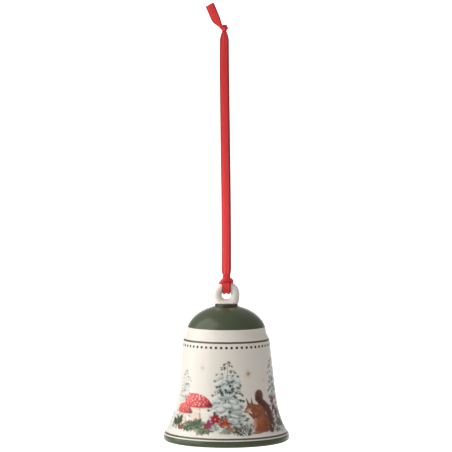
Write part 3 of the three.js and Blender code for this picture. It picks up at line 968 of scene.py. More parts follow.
@dataclass
class WinterWood:
    """The whole frieze: its ground, trees, toadstools, animals, undergrowth and stars.

    Args:
        canvas: the unrolled band of glaze.
        glaze: colour of the bare glaze.
    """

    canvas: Canvas
    glaze: Rgb

    # trunk, foot, top, spread, snow and faintness of each fir
    FRONT_FIRS = (
        (-22.8, 14, 34.8, 4.8, 0.8, 0.5),
        (-39.5, 12, 37.5, 6.5, 0.8, 0.25),
        (0.4, 9.4, 39.8, 9.7, 0.86, 0.0),
        (28.6, 8.0, 40.0, 6.0, 0.45, 0.0),
    )
    BACK_FIRS = (
        (44.0, 10, 31.5, 6.2, 0.85, 0.5),
        (53.5, 7.5, 38.6, 9.6, 0.8, 0.06),
        (65.0, 12, 33.0, 5.4, 0.9, 0.55),
        (-66.0, 9, 36.0, 7.8, 0.8, 0.15),
        (-55.0, 12, 30.5, 5.2, 0.88, 0.5),
        (-47.5, 8, 33.0, 7.0, 0.75, 0.12),
    )
    # place, size and faintness of each star
    STARS = ((-12.2, 36.3, 2.3, 0.86), (11.0, 33.6, 2.6, 0.15), (42.0, 36.5, 1.8, 0.3),
             (-44.5, 39.2, 1.7, 0.5), (-60.5, 38.4, 2.0, 0.1), (69.0, 38.5, 1.8, 0.6), (20.2, 30.0, 1.2, 0.8))

    def __post_init__(self) -> None:
        """Takes up the brush and the plants."""
        self.brush = Brush(self.canvas, seed=11)
        self.plants = Undergrowth(self.brush)

    def paint(self) -> None:
        """Paints the scene from the far to the near."""
        self.ground()
        for star in self.STARS:
            self.star(*star)
        for fir in sorted(self.FRONT_FIRS + self.BACK_FIRS, key=lambda fir: -fir[-1]):
            Fir(self.brush, self.glaze, *fir).paint()
        self.front()
        self.back()

    def star(self, u: float, v: float, size: float, faint: float) -> None:
        """A gold star with eight soft rays and a faint halo."""
        brush = self.brush
        tint = mixed(Tint.GOLD, mixed(Tint.GOLD_PALE, self.glaze, 0.45), faint)
        brush.dab(u, v, size * 0.6, size * 0.6, 0, mixed(tint, self.glaze, 0.3), 0.55, size * 1.0)
        for k in range(8):
            c, s = heading(45 * k + 10)
            long = size * (0.95 if k % 2 == 0 else 0.66)
            brush.stroke((u, v), (u + long * c, v + long * s), size * 0.14, 0.07, tint, 0.5, 0.6)
        brush.dab(u, v, size * 0.26, size * 0.26, 0, mixed(tint, Tint.RUST, 0.15), 0.65, 0.7)

    def ground(self) -> None:
        """Mist behind the trees and drifts of snow along the foot."""
        brush, plants = self.brush, self.plants
        half = self.canvas.round / 2
        for k in range(46):
            u = -half + self.canvas.round * k / 46 + brush.wobble(1.5)
            plants.drift(u, 11 + brush.wobble(3), 4.5, 4.5 + brush.wobble(1.5), Tint.MIST, 0.16)
        for k in range(60):
            u = -half + self.canvas.round * k / 60 + brush.wobble(1.0)
            tint = (Tint.SNOW, Tint.FROST, Tint.MIST)[int(brush.rng.integers(3))]
            plants.drift(u, 7.6 + brush.wobble(1.4), 3.0, 1.0, tint, 0.45)

    def front(self) -> None:
        """The painted front: toadstools on the left, squirrel on the right, winter leaves between them."""
        brush, plants = self.brush, self.plants
        greens = (Tint.LEAF, Tint.LEAF_DARK, Tint.LEAF_PALE, Tint.LEAF)
        Toadstool(brush, -13.9, 10.4, 14.0, 7.7, -0.4, -0.3).paint()
        Toadstool(brush, -20.9, 9.6, 9.8, 5.0, -0.6, -0.15).paint()
        plants.drift(-16, 9.4, 3.6, 1.0, Tint.STALK, 0.5)
        for _ in range(10):
            plants.sprig(-27 + brush.wobble(2.0), 8.5 + brush.wobble(1), 2.6, 90 + brush.wobble(70), 0.45)
        plants.spray(-24.0, 9.6, 3.4, 7, 20, 190, (Tint.LEAF_DARK, Tint.LEAF), 0.3)
        plants.holly(-25.4, 9.6, 4.2, 150, Tint.LEAF_DARK)
        plants.holly(-24.0, 9.8, 4.2, 62, Tint.LEAF_DARK)
        plants.holly(-21.6, 8.2, 3.8, 28, Tint.LEAF)
        plants.spray(-21.5, 7.6, 2.6, 8, 10, 170, (Tint.RUST, Tint.FERN, Tint.TWIG))
        for u, v in ((-23.4, 8.8), (-22.0, 7.6), (-24.6, 7.7), (-20.6, 8.9), (-22.7, 10.0)):
            plants.berry(u, v, 0.42, Tint.RUST, Tint.BERRY_DARK)
        for k in range(5):
            u = -17.6 + 2.3 * k + brush.wobble(0.5)
            v = 8.1 + brush.wobble(0.7) + (1.2 if k in (1, 2) else 0)
            plants.spray(u, v, 3.0, 10, -15, 195, greens, 0.24)
            plants.spray(u, v - 0.4, 2.0, 6, 190, 350, greens, 0.3)
        plants.sprig(-9.0, 9.0, 3.4, 120, 0.5)
        plants.spray(-7.3, 10.2, 2.5, 7, 20, 340, (Tint.MAGENTA, Tint.CAP_DARK, Tint.MAGENTA), 0.3)
        plants.spray(-5.0, 8.0, 2.4, 6, 0, 180, (Tint.LEAF_PALE, Tint.FROST, Tint.SNOW_SHADE), 0.34)
        plants.bloom(-4.8, 12.9, 2.3)
        plants.spray(-1.2, 11.0, 2.7, 6, -30, 160, (Tint.EMBER, Tint.BERRY, Tint.RUST), 0.3)
        for u, v in ((-1.6, 11.7), (-0.4, 10.6), (0.9, 9.6), (-1.4, 9.7), (0.2, 8.4), (1.9, 8.6),
                     (-2.6, 10.6)):
            plants.berry(u, v, 0.62, Tint.BERRY if u > 0 else Tint.EMBER, Tint.BERRY_DARK)
        plants.spray(0.6, 6.6, 2.2, 6, 10, 170, (Tint.LEAF, Tint.LEAF_PALE, Tint.SNOW_SHADE), 0.3)
        for turn in (100, 78, 60, 118):
            plants.fern(3.8 + brush.wobble(0.8), 6.0, 5.2, turn)
        plants.grass(5.2, 5.8, 4.2, 16, (Tint.LEAF_DARK, Tint.FERN, Tint.LEAF, Tint.TWIG))
        for turn in (128, 104, 84, 66, 148, 48):
            plants.sprig(7.9 + brush.wobble(1.2), 5.7 + brush.wobble(0.6), 5.8, turn, 0.3)
        plants.grass(8.6, 5.6, 3.8, 14, (Tint.PINE_DARK, Tint.PINE, Tint.SNOW))
        Squirrel(brush, 8.5, 6.0).paint()
        for turn in (100, 65, 130):
            plants.sprig(24.2, 5.8, 4.6, turn, 0.4)
        plants.bloom(25.8, 20.6, 2.1, Tint.MAGENTA, Tint.CAP_DARK)
        plants.spray(26.0, 17.6, 2.4, 5, 200, 340, (Tint.MAGENTA, Tint.LEAF_DARK), 0.3)
        plants.spray(28.0, 14.0, 2.6, 6, 30, 250, (Tint.MAGENTA, Tint.LEAF_DARK, Tint.TWIG), 0.3)
        plants.spray(29.0, 8.4, 3.4, 9, 0, 180, (Tint.LEAF_DARK, Tint.PINE, Tint.LEAF))
        for u, v in ((27.2, 9.8), (28.6, 10.8), (30.2, 9.6)):
            plants.berry(u, v, 0.55)

    def back(self) -> None:
        """The rest of the way round: more of the same wood, in groups that differ."""
        brush, plants = self.brush, self.plants
        greens = (Tint.LEAF, Tint.LEAF_DARK, Tint.LEAF_PALE)
        Toadstool(brush, 43.0, 8.6, 12.0, 5.8, 0.4).paint()
        Toadstool(brush, 48.4, 8.0, 8.4, 3.9, 0.2).paint()
        Toadstool(brush, -50.0, 8.4, 11.0, 5.2, -0.4).paint()
        Squirrel(brush, -66.0, 6.1, 0.86).paint()
        for u in (36.5, 40.2, 45.4, 51.5, 57.0, -69.0, -54.0, -46.5, -41.0, -37.5):
            low = 7.0 + brush.wobble(0.8)
            plants.spray(u, low, 3.0, 8, -10, 190, greens, 0.27)
            plants.spray(u + 0.6, low - 0.6, 1.9, 5, 190, 350, greens, 0.3)
        for u in (38.4, 49.8, 54.6, 68.6, -58.0, -48.2, -38.6):
            for turn in (115, 85, 60):
                plants.sprig(u + brush.wobble(0.6), 6.0, 4.6, turn, 0.4)
        for u, v in ((60.5, 9.6), (-43.2, 10.4), (-36.5, 10.6), (36.6, 10.4)):
            plants.spray(u, v - 1.6, 3.2, 7, -20, 200, (Tint.LEAF_DARK, Tint.LEAF), 0.3)
            plants.bloom(u, v, 2.2)
        for u in (56.8, 63.4, 71.0, -71.5, -56.5, -40.2, 47.0):
            for _ in range(5):
                plants.berry(u + brush.wobble(1.5), 8.0 + brush.wobble(1.2), 0.55)
        for u in (65.6, 59.2, -60.0, -52.0, 40.8):
            plants.fern(u, 6.2, 5.0, 95 + brush.wobble(25))
            plants.grass(u + 1.2, 6.0, 3.6, 10, (Tint.LEAF_DARK, Tint.FERN, Tint.TWIG))


# Finishes ---------------------------------------------------------------------------------------


def new_group(name: str, takes: Sequence[str], gives: Sequence[str]) -> tuple[bpy.types.NodeTree, Wiring]:
    """A new node group whose sockets all carry plain values.

    Args:
        name: the group's name.
        takes, gives: names of what goes in and of what comes out.

    Returns:
        The group and its wiring.
    """
    tree = bpy.data.node_groups.new(name, "ShaderNodeTree")
    for in_out, sockets in (("INPUT", takes), ("OUTPUT", gives)):
        for socket in sockets:
            tree.interface.new_socket(socket, in_out=in_out, socket_type="NodeSocketFloat")
    return tree, Wiring(tree)


@dataclass(frozen=True)
class GlazeSurface:
    """Node group of what every glazed piece shares: a faint ripple, pinholes and uneven gloss."""

    name: str = "glaze_surface"

    def tree(self) -> bpy.types.NodeTree:
        """Builds the group, or returns it if it has been built.

        Returns:
            A group that takes Ripple and Gloss and gives Height and Roughness.
        """
        if self.name in bpy.data.node_groups:
            return bpy.data.node_groups[self.name]
        tree, wire = new_group(self.name, ("Ripple", "Gloss"), ("Height", "Roughness"))
        given = wire.node("NodeGroupInput")
        place = wire.node("ShaderNodeTexCoord").outputs["Object"]
        long_ripple = wire.noise(place, 160, 2)
        pinholes = wire.ease(wire.noise(place, 2600, 1), 0.24, 0.3)
        height = wire.times(long_ripple, given.outputs["Ripple"])
        height = wire.plus(height, wire.times(pinholes, 0.03))
        patchy = wire.ease(wire.noise(place, 420, 4, 0.6), 0.35, 0.8)
        rough = wire.times(patchy, 0.07)
        rough = wire.plus(rough, given.outputs["Gloss"])
        wire.node("NodeGroupOutput", {"Height": height, "Roughness": rough})
        return tree


@dataclass(frozen=True)
class MetalWear:
    """Node group that the wire and the ferrule share: drawn lines, dull patches and tarnish."""

    name: str = "metal_wear"

    def tree(self) -> bpy.types.NodeTree:
        """Builds the group, or returns it if it has been built.

        Returns:
            A group that takes Tarnish and gives Mask, Roughness and Height.
        """
        if self.name in bpy.data.node_groups:
            return bpy.data.node_groups[self.name]
        tree, wire = new_group(self.name, ("Tarnish",), ("Mask", "Roughness", "Height"))
        given = wire.node("NodeGroupInput")
        place = wire.node("ShaderNodeTexCoord").outputs["Object"]
        drawn = wire.node("ShaderNodeMapping", {"Vector": place, "Scale": (1.0, 1.0, 0.06)}).outputs[0]
        lines = wire.noise(drawn, 5200, 3, 0.6)
        patches = wire.ease(wire.noise(place, 700, 4, 0.62), 0.42, 0.72)
        mask = wire.times(patches, given.outputs["Tarnish"])
        rough = wire.plus(wire.times(lines, 0.16), 0.2)
        rough = wire.plus(rough, wire.times(mask, 0.25))
        wire.node("NodeGroupOutput", {"Mask": mask, "Roughness": rough, "Height": lines})
        return tree


def new_material(name: str) -> tuple[bpy.types.Material, Wiring, bpy.types.Node]:
    """A new material with an empty Principled shader.

    Returns:
        The material, its wiring and its shader node.
    """
    material = bpy.data.materials.new(name)
    material.use_nodes = True
    material.node_tree.nodes.clear()
    wire = Wiring(material.node_tree)
    shader = wire.node("ShaderNodeBsdfPrincipled")
    wire.node("ShaderNodeOutputMaterial", {"Surface": shader.outputs[0]})
    return material, wire, shader


def raise_normal(wire: Wiring, shader: bpy.types.Node, height: Fed, strength: float, distance: float) -> None:
    """Feeds a height to the shader's normal through a bump of a real depth, in metres."""
    inputs = {"Height": height, "Strength": strength, "Distance": distance}
    wire.feed(shader.inputs["Normal"], wire.node("ShaderNodeBump", inputs).outputs[0])


class Glaze(Enum):
    """Colours of the glazes and enamels, as linear light."""

    IVORY = linear(rgb("F5F0E8"))
    BISQUE = linear(rgb("E6DDCF"))
    DOME_GREEN = (0.082, 0.106, 0.060)
    COLLAR_OLIVE = linear(rgb("454130"))
    LINE_GREEN = linear(rgb("3A3626"))
    DOT_GREEN = linear(rgb("38322A"))


@dataclass(frozen=True)
class PaintedPorcelain:
    """Ivory glaze with the green bands, thin lines, dots and the painted frieze over it.

    Heights and widths are in millimetres above the foot.
    """

    datum: Datum
    rim_band_top: float = 3.12
    lip_line: Place = (3.64, 4.42)
    shoulder_line: Place = (47.62, 48.5)
    dome_band_foot: float = 53.9
    dot_height: float = 45.8
    dot_radius: float = 0.615
    dot_count: int = 53
    bare_foot: float = 0.1
    edge: float = 0.09

    def band(self, wire: Wiring, height: Fed, low: float | None, high: float | None) -> Fed:
        """Mask of the band between two heights, either of them open."""
        mask = 1.0
        if low is not None:
            mask = wire.ease(height, low - self.edge, low + self.edge)
        if high is not None:
            below = wire.less(1.0, wire.ease(height, high - self.edge, high + self.edge))
            mask = below if low is None else wire.times(mask, below)
        return mask

    def dots(self, wire: Wiring, parts: bpy.types.bpy_prop_collection, height: Fed) -> Fed:
        """Mask of the row of dots round the shoulder."""
        turn = wire.math("ARCTAN2", parts["X"], wire.times(parts["Y"], -1.0))
        count = wire.times(turn, self.dot_count / (2 * math.pi))
        off = wire.less(count, wire.math("ROUND", count))
        radius = wire.length(parts["X"], parts["Y"])
        pitch = wire.times(radius, 2 * math.pi / self.dot_count / MM)
        across = wire.times(off, pitch)
        up = wire.less(height, self.dot_height)
        away = wire.length(across, up)
        return wire.less(1.0, wire.ease(away, self.dot_radius - 0.1, self.dot_radius + 0.1))

    def make(self) -> bpy.types.Material:
        """Builds the material."""
        material, wire, shader = new_material("painted_porcelain")
        place = wire.node("ShaderNodeTexCoord").outputs["Object"]
        parts = wire.node("ShaderNodeSeparateXYZ", {0: place}).outputs
        wobble = wire.times(wire.less(wire.noise(place, 260, 3), 0.5), 0.16)
        height = wire.times(wire.less(parts["Z"], self.datum.foot_z), 1 / MM)
        drawn = wire.plus(height, wobble)
        outside = wire.node("ShaderNodeAttribute", attribute_name="outside").outputs["Fac"]
        frieze = wire.node("ShaderNodeAttribute", attribute_name="frieze").outputs

        shade = wire.ease(wire.noise(place, 45, 3), 0.3, 0.75)
        ivory = wire.blend(wire.times(shade, 0.35), Glaze.IVORY.value, linear(rgb("F0E9DD")))
        colour = wire.blend(frieze["Alpha"], ivory, frieze["Color"])
        pooled = wire.ease(wire.noise(place, 90, 4, 0.6), 0.25, 0.8)
        green = wire.blend(wire.times(pooled, 0.5), Glaze.DOME_GREEN.value, (0.068, 0.092, 0.050))
        enamel = self.band(wire, drawn, None, self.rim_band_top)
        enamel = wire.math("MAXIMUM", enamel, self.band(wire, drawn, self.dome_band_foot, None))
        lines = self.band(wire, drawn, *self.lip_line)
        lines = wire.math("MAXIMUM", lines, self.band(wire, drawn, *self.shoulder_line))
        dots = self.dots(wire, parts, height)
        enamel = wire.times(enamel, outside)
        lines = wire.times(lines, outside)
        dots = wire.times(dots, outside)
        colour = wire.blend(enamel, colour, green)
        colour = wire.blend(wire.times(lines, 0.92), colour, Glaze.LINE_GREEN.value)
        colour = wire.blend(dots, colour, Glaze.DOT_GREEN.value)
        bare = wire.less(1.0, wire.ease(height, self.bare_foot, self.bare_foot + 0.12))
        colour = wire.blend(bare, colour, Glaze.BISQUE.value)
        wire.feed(shader.inputs["Base Color"], colour)

        surface = wire.use(GlazeSurface().tree(), {"Ripple": 1.0, "Gloss": 0.19}).outputs
        shader.inputs["Specular IOR Level"].default_value = 0.36
        printed = wire.times(frieze["Alpha"], 0.1)
        rough = wire.plus(surface["Roughness"], printed)
        rough = wire.plus(rough, wire.times(bare, 0.5))
        wire.feed(shader.inputs["Roughness"], rough)
        proud = wire.math("MAXIMUM", wire.math("MAXIMUM", enamel, lines), dots)
        relief = wire.plus(wire.times(proud, 0.5), wire.times(frieze["Alpha"], 0.25))
        relief = wire.plus(relief, wire.times(surface["Height"], 0.5))
        grit = wire.times(wire.noise(place, 9000, 2), bare)
        raise_normal(wire, shader, wire.plus(relief, grit), 0.6, 0.00006)
        return material


@dataclass(frozen=True)
class PlainGlaze:
    """One glaze all over, deeper in tone where it pools.

    Args:
        name: the material's name.
        tint, pool: linear colours of the glaze where it is thin and where it pools.
        gloss: roughness of its smoothest parts.
    """

    name: str
    tint: Rgb
    pool: Rgb
    gloss: float = 0.17

    def make(self) -> bpy.types.Material:
        """Builds the material."""
        material, wire, shader = new_material(self.name)
        place = wire.node("ShaderNodeTexCoord").outputs["Object"]
        pooled = wire.ease(wire.noise(place, 240, 4, 0.6), 0.3, 0.8)
        wire.feed(shader.inputs["Base Color"], wire.blend(wire.times(pooled, 0.6), self.tint, self.pool))
        surface = wire.use(GlazeSurface().tree(), {"Ripple": 1.2, "Gloss": self.gloss}).outputs
        wire.feed(shader.inputs["Roughness"], surface["Roughness"])
        shader.inputs["Specular IOR Level"].default_value = 0.4
        raise_normal(wire, shader, surface["Height"], 0.5, 0.00004)
        return material


@dataclass(frozen=True)
class WornMetal:
    """Drawn metal, dulled in patches.

    Args:
        name: the material's name.
        bright, dull: linear colours of clean and tarnished metal.
        tarnish: share of tarnish at its heaviest.
    """

    name: str
    bright: Rgb
    dull: Rgb
    tarnish: float

    def make(self) -> bpy.types.Material:
        """Builds the material."""
        material, wire, shader = new_material(self.name)
        worn = wire.use(MetalWear().tree(), {"Tarnish": self.tarnish}).outputs
        wire.feed(shader.inputs["Base Color"], wire.blend(worn["Mask"], self.bright, self.dull))
        wire.feed(shader.inputs["Roughness"], worn["Roughness"])
        shader.inputs["Metallic"].default_value = 1.0
        raise_normal(wire, shader, worn["Height"], 0.35, 0.00003)
        return material


@dataclass(frozen=True)
class Satin:
    """Red satin ribbon: long warp floats with a sheen, and a firm selvedge along both edges.

    The weave's UV map holds millimetres across from the middle and along the ribbon. Its colour also holds
    painted light: lighter streaks along the ribbon are painted sheen, the colour darkens as painted shade
    where the floats dip, and both edges are darkened as painted shade beside the firmer selvedge.
    """

    half_width: float = 2.0
    selvedge: float = 0.55
    threads: float = 9.0

    def make(self) -> bpy.types.Material:
        """Builds the material."""
        material, wire, shader = new_material("red_satin")
        weave = wire.node("ShaderNodeUVMap", uv_map="weave").outputs[0]
        parts = wire.node("ShaderNodeSeparateXYZ", {0: weave}).outputs
        edge = wire.math("ABSOLUTE", parts["X"])
        # selvedge along both edges: rougher and raised, and its darker colour is partly painted shade along
        # the edges
        selvedge_and_shade = wire.ease(edge, self.half_width - self.selvedge, self.half_width - self.selvedge * 0.45)
        warp = wire.math("SINE", wire.times(parts["X"], 2 * math.pi * self.threads))
        slip = wire.times(wire.math("FLOOR", wire.times(parts["X"], self.threads)), 0.37)
        float_end = wire.math("FRACT", wire.plus(wire.times(parts["Y"], 1.6), slip))
        # dips where the floats end: painted shade darkens the colour there, and the bump sinks them
        dip_and_shade = wire.ease(wire.math("ABSOLUTE", wire.less(float_end, 0.5)), 0.36, 0.5)
        # painted sheen: soft lighter streaks along the ribbon, which also vary its roughness
        streak_place = wire.node("ShaderNodeMapping", {"Vector": weave, "Scale": (3.2, 0.09, 1.0)}).outputs[0]
        streaks = wire.noise(streak_place, 1.6, 4, 0.65)
        # base colour: painted sheen streaks from the base red to a lighter red
        red = wire.blend(wire.ease(streaks, 0.3, 0.72), linear(rgb("FA2C33")), linear(rgb("FF4C49")))
        # painted shade in the dips between floats
        red = wire.blend(wire.times(dip_and_shade, 0.25), red, linear(rgb("8E1420")))
        # painted shade darkening both edges, over the selvedge
        red = wire.blend(wire.times(selvedge_and_shade, 0.72), red, linear(rgb("84102E")))
        wire.feed(shader.inputs["Base Color"], red)
        rough = wire.plus(0.36, wire.times(selvedge_and_shade, 0.22))
        rough = wire.plus(rough, wire.times(streaks, 0.1))
        wire.feed(shader.inputs["Roughness"], rough)
        shader.inputs["Specular IOR Level"].default_value = 0.45
        shader.inputs["Sheen Weight"].default_value = 0.9
        shader.inputs["Sheen Roughness"].default_value = 0.35
        shader.inputs["Sheen Tint"].default_value = (1.0, 0.3, 0.27, 1.0)
        threads = wire.times(wire.plus(warp, 1.0), 0.25)
        relief = wire.less(threads, wire.times(dip_and_shade, 0.4))
        relief = wire.plus(relief, wire.times(selvedge_and_shade, 0.6))
        raise_normal(wire, shader, relief, 0.55, 0.00003)
        return material


@dataclass(frozen=True)
class StudioWhite:
    """Pale sweep that the object hangs before: matt in front, with a lit patch behind.

    Distances are in metres; the patch starts behind the ornament and fades to both sides and upwards. The
    patch is painted light: the sweep glows there by its own emission, as a pool of light painted on it.
    """

    glow: float = 0.85
    behind: Place = (0.15, 0.4)
    beside: Place = (0.5, 1.3)
    above: Place = (0.3, 0.9)

    def make(self) -> bpy.types.Material:
        """Builds the material."""
        material, wire, shader = new_material("studio_white")
        place = wire.node("ShaderNodeTexCoord").outputs["Object"]
        paper = wire.blend(wire.noise(place, 60, 3), (0.9, 0.9, 0.9), (0.93, 0.93, 0.925))
        wire.feed(shader.inputs["Base Color"], paper)
        shader.inputs["Roughness"].default_value = 0.9
        shader.inputs["Emission Color"].default_value = (1.0, 1.0, 1.0, 1.0)
        parts = wire.node("ShaderNodeSeparateXYZ", {0: place}).outputs
        # painted light: a patch of emission behind the ornament that makes the sweep glow
        lit = wire.ease(parts["Y"], *self.behind)
        for far, (near, end) in ((wire.math("ABSOLUTE", parts["X"]), self.beside), (parts["Z"], self.above)):
            lit = wire.times(lit, wire.less(1.0, wire.ease(far, near, end)))
        wire.feed(shader.inputs["Emission Strength"], wire.times(lit, self.glow))
        return material


@dataclass
class Finishes:
    """Every material of the ornament, made once."""

    datum: Datum
    painted: bpy.types.Material = field(init=False)
    ivory: bpy.types.Material = field(init=False)
    olive: bpy.types.Material = field(init=False)
    wire: bpy.types.Material = field(init=False)
    brass: bpy.types.Material = field(init=False)
    satin: bpy.types.Material = field(init=False)

    def __post_init__(self) -> None:
        """Makes the materials."""
        self.painted = PaintedPorcelain(self.datum).make()
        self.ivory = PlainGlaze("ivory_glaze", linear(rgb("FFFAF4")), linear(rgb("FAF3EA"))).make()
        self.olive = PlainGlaze("olive_glaze", Glaze.COLLAR_OLIVE.value, linear(rgb("2F2E20")), 0.14).make()
        self.wire = WornMetal("steel_wire", (0.56, 0.54, 0.5), (0.2, 0.17, 0.13), 0.6).make()
        self.brass = WornMetal("brass_ferrule", (0.72, 0.5, 0.22), (0.24, 0.15, 0.06), 0.7).make()
        self.satin = Satin().make()


# Studio -----------------------------------------------------------------------------------------


@dataclass
class Studio:
    """Camera, soft lights and the white sweep. Distances are in metres, heights in millimetres."""

    datum: Datum
    distance: float = 1.185
    sideways: float = -0.19
    eye_height: float = 171.0
    aim_height: float = 101.6
    lens: float = 199.8
    floor_height: float = -60.0

    def camera(self) -> None:
        """Places the camera in front of the ornament, a little above its middle."""
        made = bpy.data.objects.new("camera", bpy.data.cameras.new("camera"))
        bpy.context.scene.collection.objects.link(made)
        made.data.lens = self.lens
        made.data.sensor_width = 36.0
        made.data.clip_start = 0.05
        made.data.clip_end = 20.0
        eye = Vector((self.sideways * MM, -self.distance, self.datum.z(self.eye_height)))
        aim = Vector((self.sideways * MM, 0.0, self.datum.z(self.aim_height)))
        made.location = eye
        made.rotation_euler = (aim - eye).to_track_quat("-Z", "Y").to_euler()
        bpy.context.scene.camera = made

    def softbox(self, name: str, azimuth: float, height: float, distance: float, size: Place, energy: float,
                tint: Rgb) -> None:
        """One area light that faces the ornament.

        Args:
            name: the light's name.
            azimuth: degrees to the right of the camera's side, seen from above.
            height: metres above the middle of the bell.
            distance: metres from the bell's axis.
            size: width and height in metres.
            energy: power in watts.
            tint: colour of its light.
        """
        light = bpy.data.lights.new(name, "AREA")
        light.shape = "RECTANGLE"
        light.size, light.size_y = size
        light.energy = energy
        light.color = tint
        made = bpy.data.objects.new(name, light)
        bpy.context.scene.collection.objects.link(made)
        turn = math.radians(azimuth)
        middle = Vector((0.0, 0.0, self.datum.z(40.0)))
        made.location = middle + Vector((math.sin(turn) * distance, -math.cos(turn) * distance, height))
        made.rotation_euler = (middle - made.location).to_track_quat("-Z", "Y").to_euler()

    def lights(self) -> None:
        """A tall softbox on the left and an even warm surround."""
        self.softbox("left_softbox", -76, 0.3, 0.85, (1.15, 1.9), 13.2, (1.0, 0.985, 0.96))
        world = bpy.data.worlds.new("surround")
        world.use_nodes = True
        world.node_tree.nodes["Background"].inputs[0].default_value = (1.0, 0.972, 0.935, 1.0)
        world.node_tree.nodes["Background"].inputs[1].default_value = 0.37
        bpy.context.scene.world = world
        bpy.context.scene.view_settings.view_transform = "Standard"

    def sweep(self) -> None:
        """A pale floor that rises behind the ornament in one curve."""
        Bench.clear()
        floor_z = self.datum.z(self.floor_height)
        bpy.ops.mesh.primitive_plane_add(size=1.0, location=(0, 0, floor_z))
        piece = Bench.named("floor_sweep")
        piece.scale = (7.0, 4.4, 1.0)
        Bench.settle(piece)
        Bench.pick(piece, lambda co: co.y > 1.0)
        turns = 10
        radius = 0.5
        for step in range(turns):
            a, b = (math.pi / 2 * k / turns for k in (step, step + 1))
            move = (0, radius * (math.sin(b) - math.sin(a)), radius * (math.cos(a) - math.cos(b)))
            bpy.ops.mesh.extrude_region_move(TRANSFORM_OT_translate={"value": move})
        bpy.ops.mesh.extrude_region_move(TRANSFORM_OT_translate={"value": (0, 0, 3.0)})
        bpy.ops.object.mode_set(mode="OBJECT")
        Bench.smooth(piece, 60)
        dress(piece, StudioWhite().make())


# Ribbon -----------------------------------------------------------------------------------------


def smooth_route(points: Sequence[Vector], count: int) -> list[Vector]:
    """A smooth curve through some points, as evenly spaced places along it.

    Args:
        points: places that the curve passes through.
        count: number of places returned.

    Returns:
        The places, the first and last of them the curve's ends.
    """
    ends = [points[0] * 2 - points[1], *points, points[-1] * 2 - points[-2]]
    fine = []
    for i in range(1, len(ends) - 2):
        before, a, b, after = ends[i - 1 : i + 3]
        for k in range(24):
            t = k / 24
            fine.append(0.5 * (2 * a + (b - before) * t + (2 * before - 5 * a + 4 * b - after) * t * t
                               + (3 * a - before - 3 * b + after) * t**3))
    fine.append(points[-1].copy())
    far = np.concatenate([[0], np.cumsum([(b - a).length for a, b in zip(fine, fine[1:])])])
    places = np.array([tuple(p) for p in fine])
    wanted = np.linspace(0, far[-1], count)
    return [Vector(p) for p in np.stack([np.interp(wanted, far, places[:, k]) for k in range(3)], axis=1)]


@dataclass
class Strip:
    """A stretch of flat ribbon laid along a route.

    Args:
        name: the piece's name.
        route: the middle of the ribbon from end to end, in metres.
        facing: direction of the ribbon's width, from its left to its right edge, at a share of the route.
        width: width in millimetres at a share of the route.
        fold: how far the cloth stands out of its plane, in millimetres, at a share across from -1 to 1
            and a share of the route.
        start: millimetres of ribbon that lie before the route's first point.
        thickness: of the cloth, in millimetres.
        slant: how far the right edge runs on past the left at the last end, in millimetres.
        shape: moves a finished vertex, as when the ribbon lies on a curved bar.
        across_cells, row: cells across the ribbon, and millimetres of ribbon to a row of them.
        weave_width: millimetres of weave that lie across the ribbon.
    """

    name: str
    route: Sequence[Vector]
    facing: Callable[[float], Vector]
    width: Callable[[float], float]
    fold: Callable[[float, float], float] = lambda across, share: 0.0
    start: float = 0.0
    thickness: float = 0.26
    slant: float = 0.0
    shape: Callable[[Vector], Vector] | None = None
    across_cells: int = 16
    row: float = 0.35
    weave_width: float = 4.0

    def build(self) -> bpy.types.Object:
        """Lays a fine grid along the route and gives it the cloth's thickness."""
        points = np.array([tuple(p) for p in self.route])
        steps = np.linalg.norm(np.diff(points, axis=0), axis=1)
        far = np.concatenate([[0], np.cumsum(steps)])
        length = far[-1] / MM
        rows = max(6, int(length / self.row))
        Bench.clear()
        bpy.ops.mesh.primitive_grid_add(x_subdivisions=self.across_cells, y_subdivisions=rows, size=1.0)
        piece = Bench.named(self.name)
        flat = [tuple(v.co) for v in piece.data.vertices]
        places = [self.place(points, far, 2 * x, y + 0.5) for x, y, _ in flat]
        for vertex, place in zip(piece.data.vertices, places):
            vertex.co = self.shape(place) if self.shape else place
        layer = piece.data.uv_layers[0]
        layer.name = "weave"
        for loop in piece.data.loops:
            x, y, _ = flat[loop.vertex_index]
            layer.data[loop.index].uv = (x * self.weave_width, self.start + (y + 0.5) * length)
        Bench.apply(piece, "SOLIDIFY", thickness=self.thickness * MM, offset=0.0)
        Bench.smooth(piece, 50)
        return piece

    def place(self, points: np.ndarray, far: np.ndarray, across: float, share: float) -> Vector:
        """Where the cloth lies at a share across, from -1 to 1, and a share of the route."""
        along = share * far[-1] + self.slant * MM / 2 * across * max(0.0, 2 * share - 1) ** 2
        span = far[-1] * 0.004
        middle, back, ahead = (Vector(self.sample(points, far, along + d)) for d in (0.0, -span, span))
        run = (ahead - back).normalized()
        side = self.facing(share)
        side = (side - run * side.dot(run)).normalized()
        out = side.cross(run)
        wide = self.width(share) / 2
        return middle + (side * across * wide + out * self.fold(across, share)) * MM

    @staticmethod
    def sample(points: np.ndarray, far: np.ndarray, along: float) -> list[float]:
        """The route's place at a distance along it, run on straight past either end."""
        inside = min(max(along, 0.0), far[-1])
        place = [float(np.interp(inside, far, points[:, k])) for k in range(3)]
        if along < 0 or along > far[-1]:
            a, b = (points[0], points[1]) if along < 0 else (points[-2], points[-1])
            run = (b - a) / np.linalg.norm(b - a)
            place = [p + float(d) * (along - inside) for p, d in zip(place, run)]
        return place


def step_up(value: float, low: float, high: float) -> float:
    """0 below one value, 1 above another, and a smooth step between them."""
    share = min(1.0, max(0.0, (value - low) / (high - low)))
    return share * share * (3 - 2 * share)


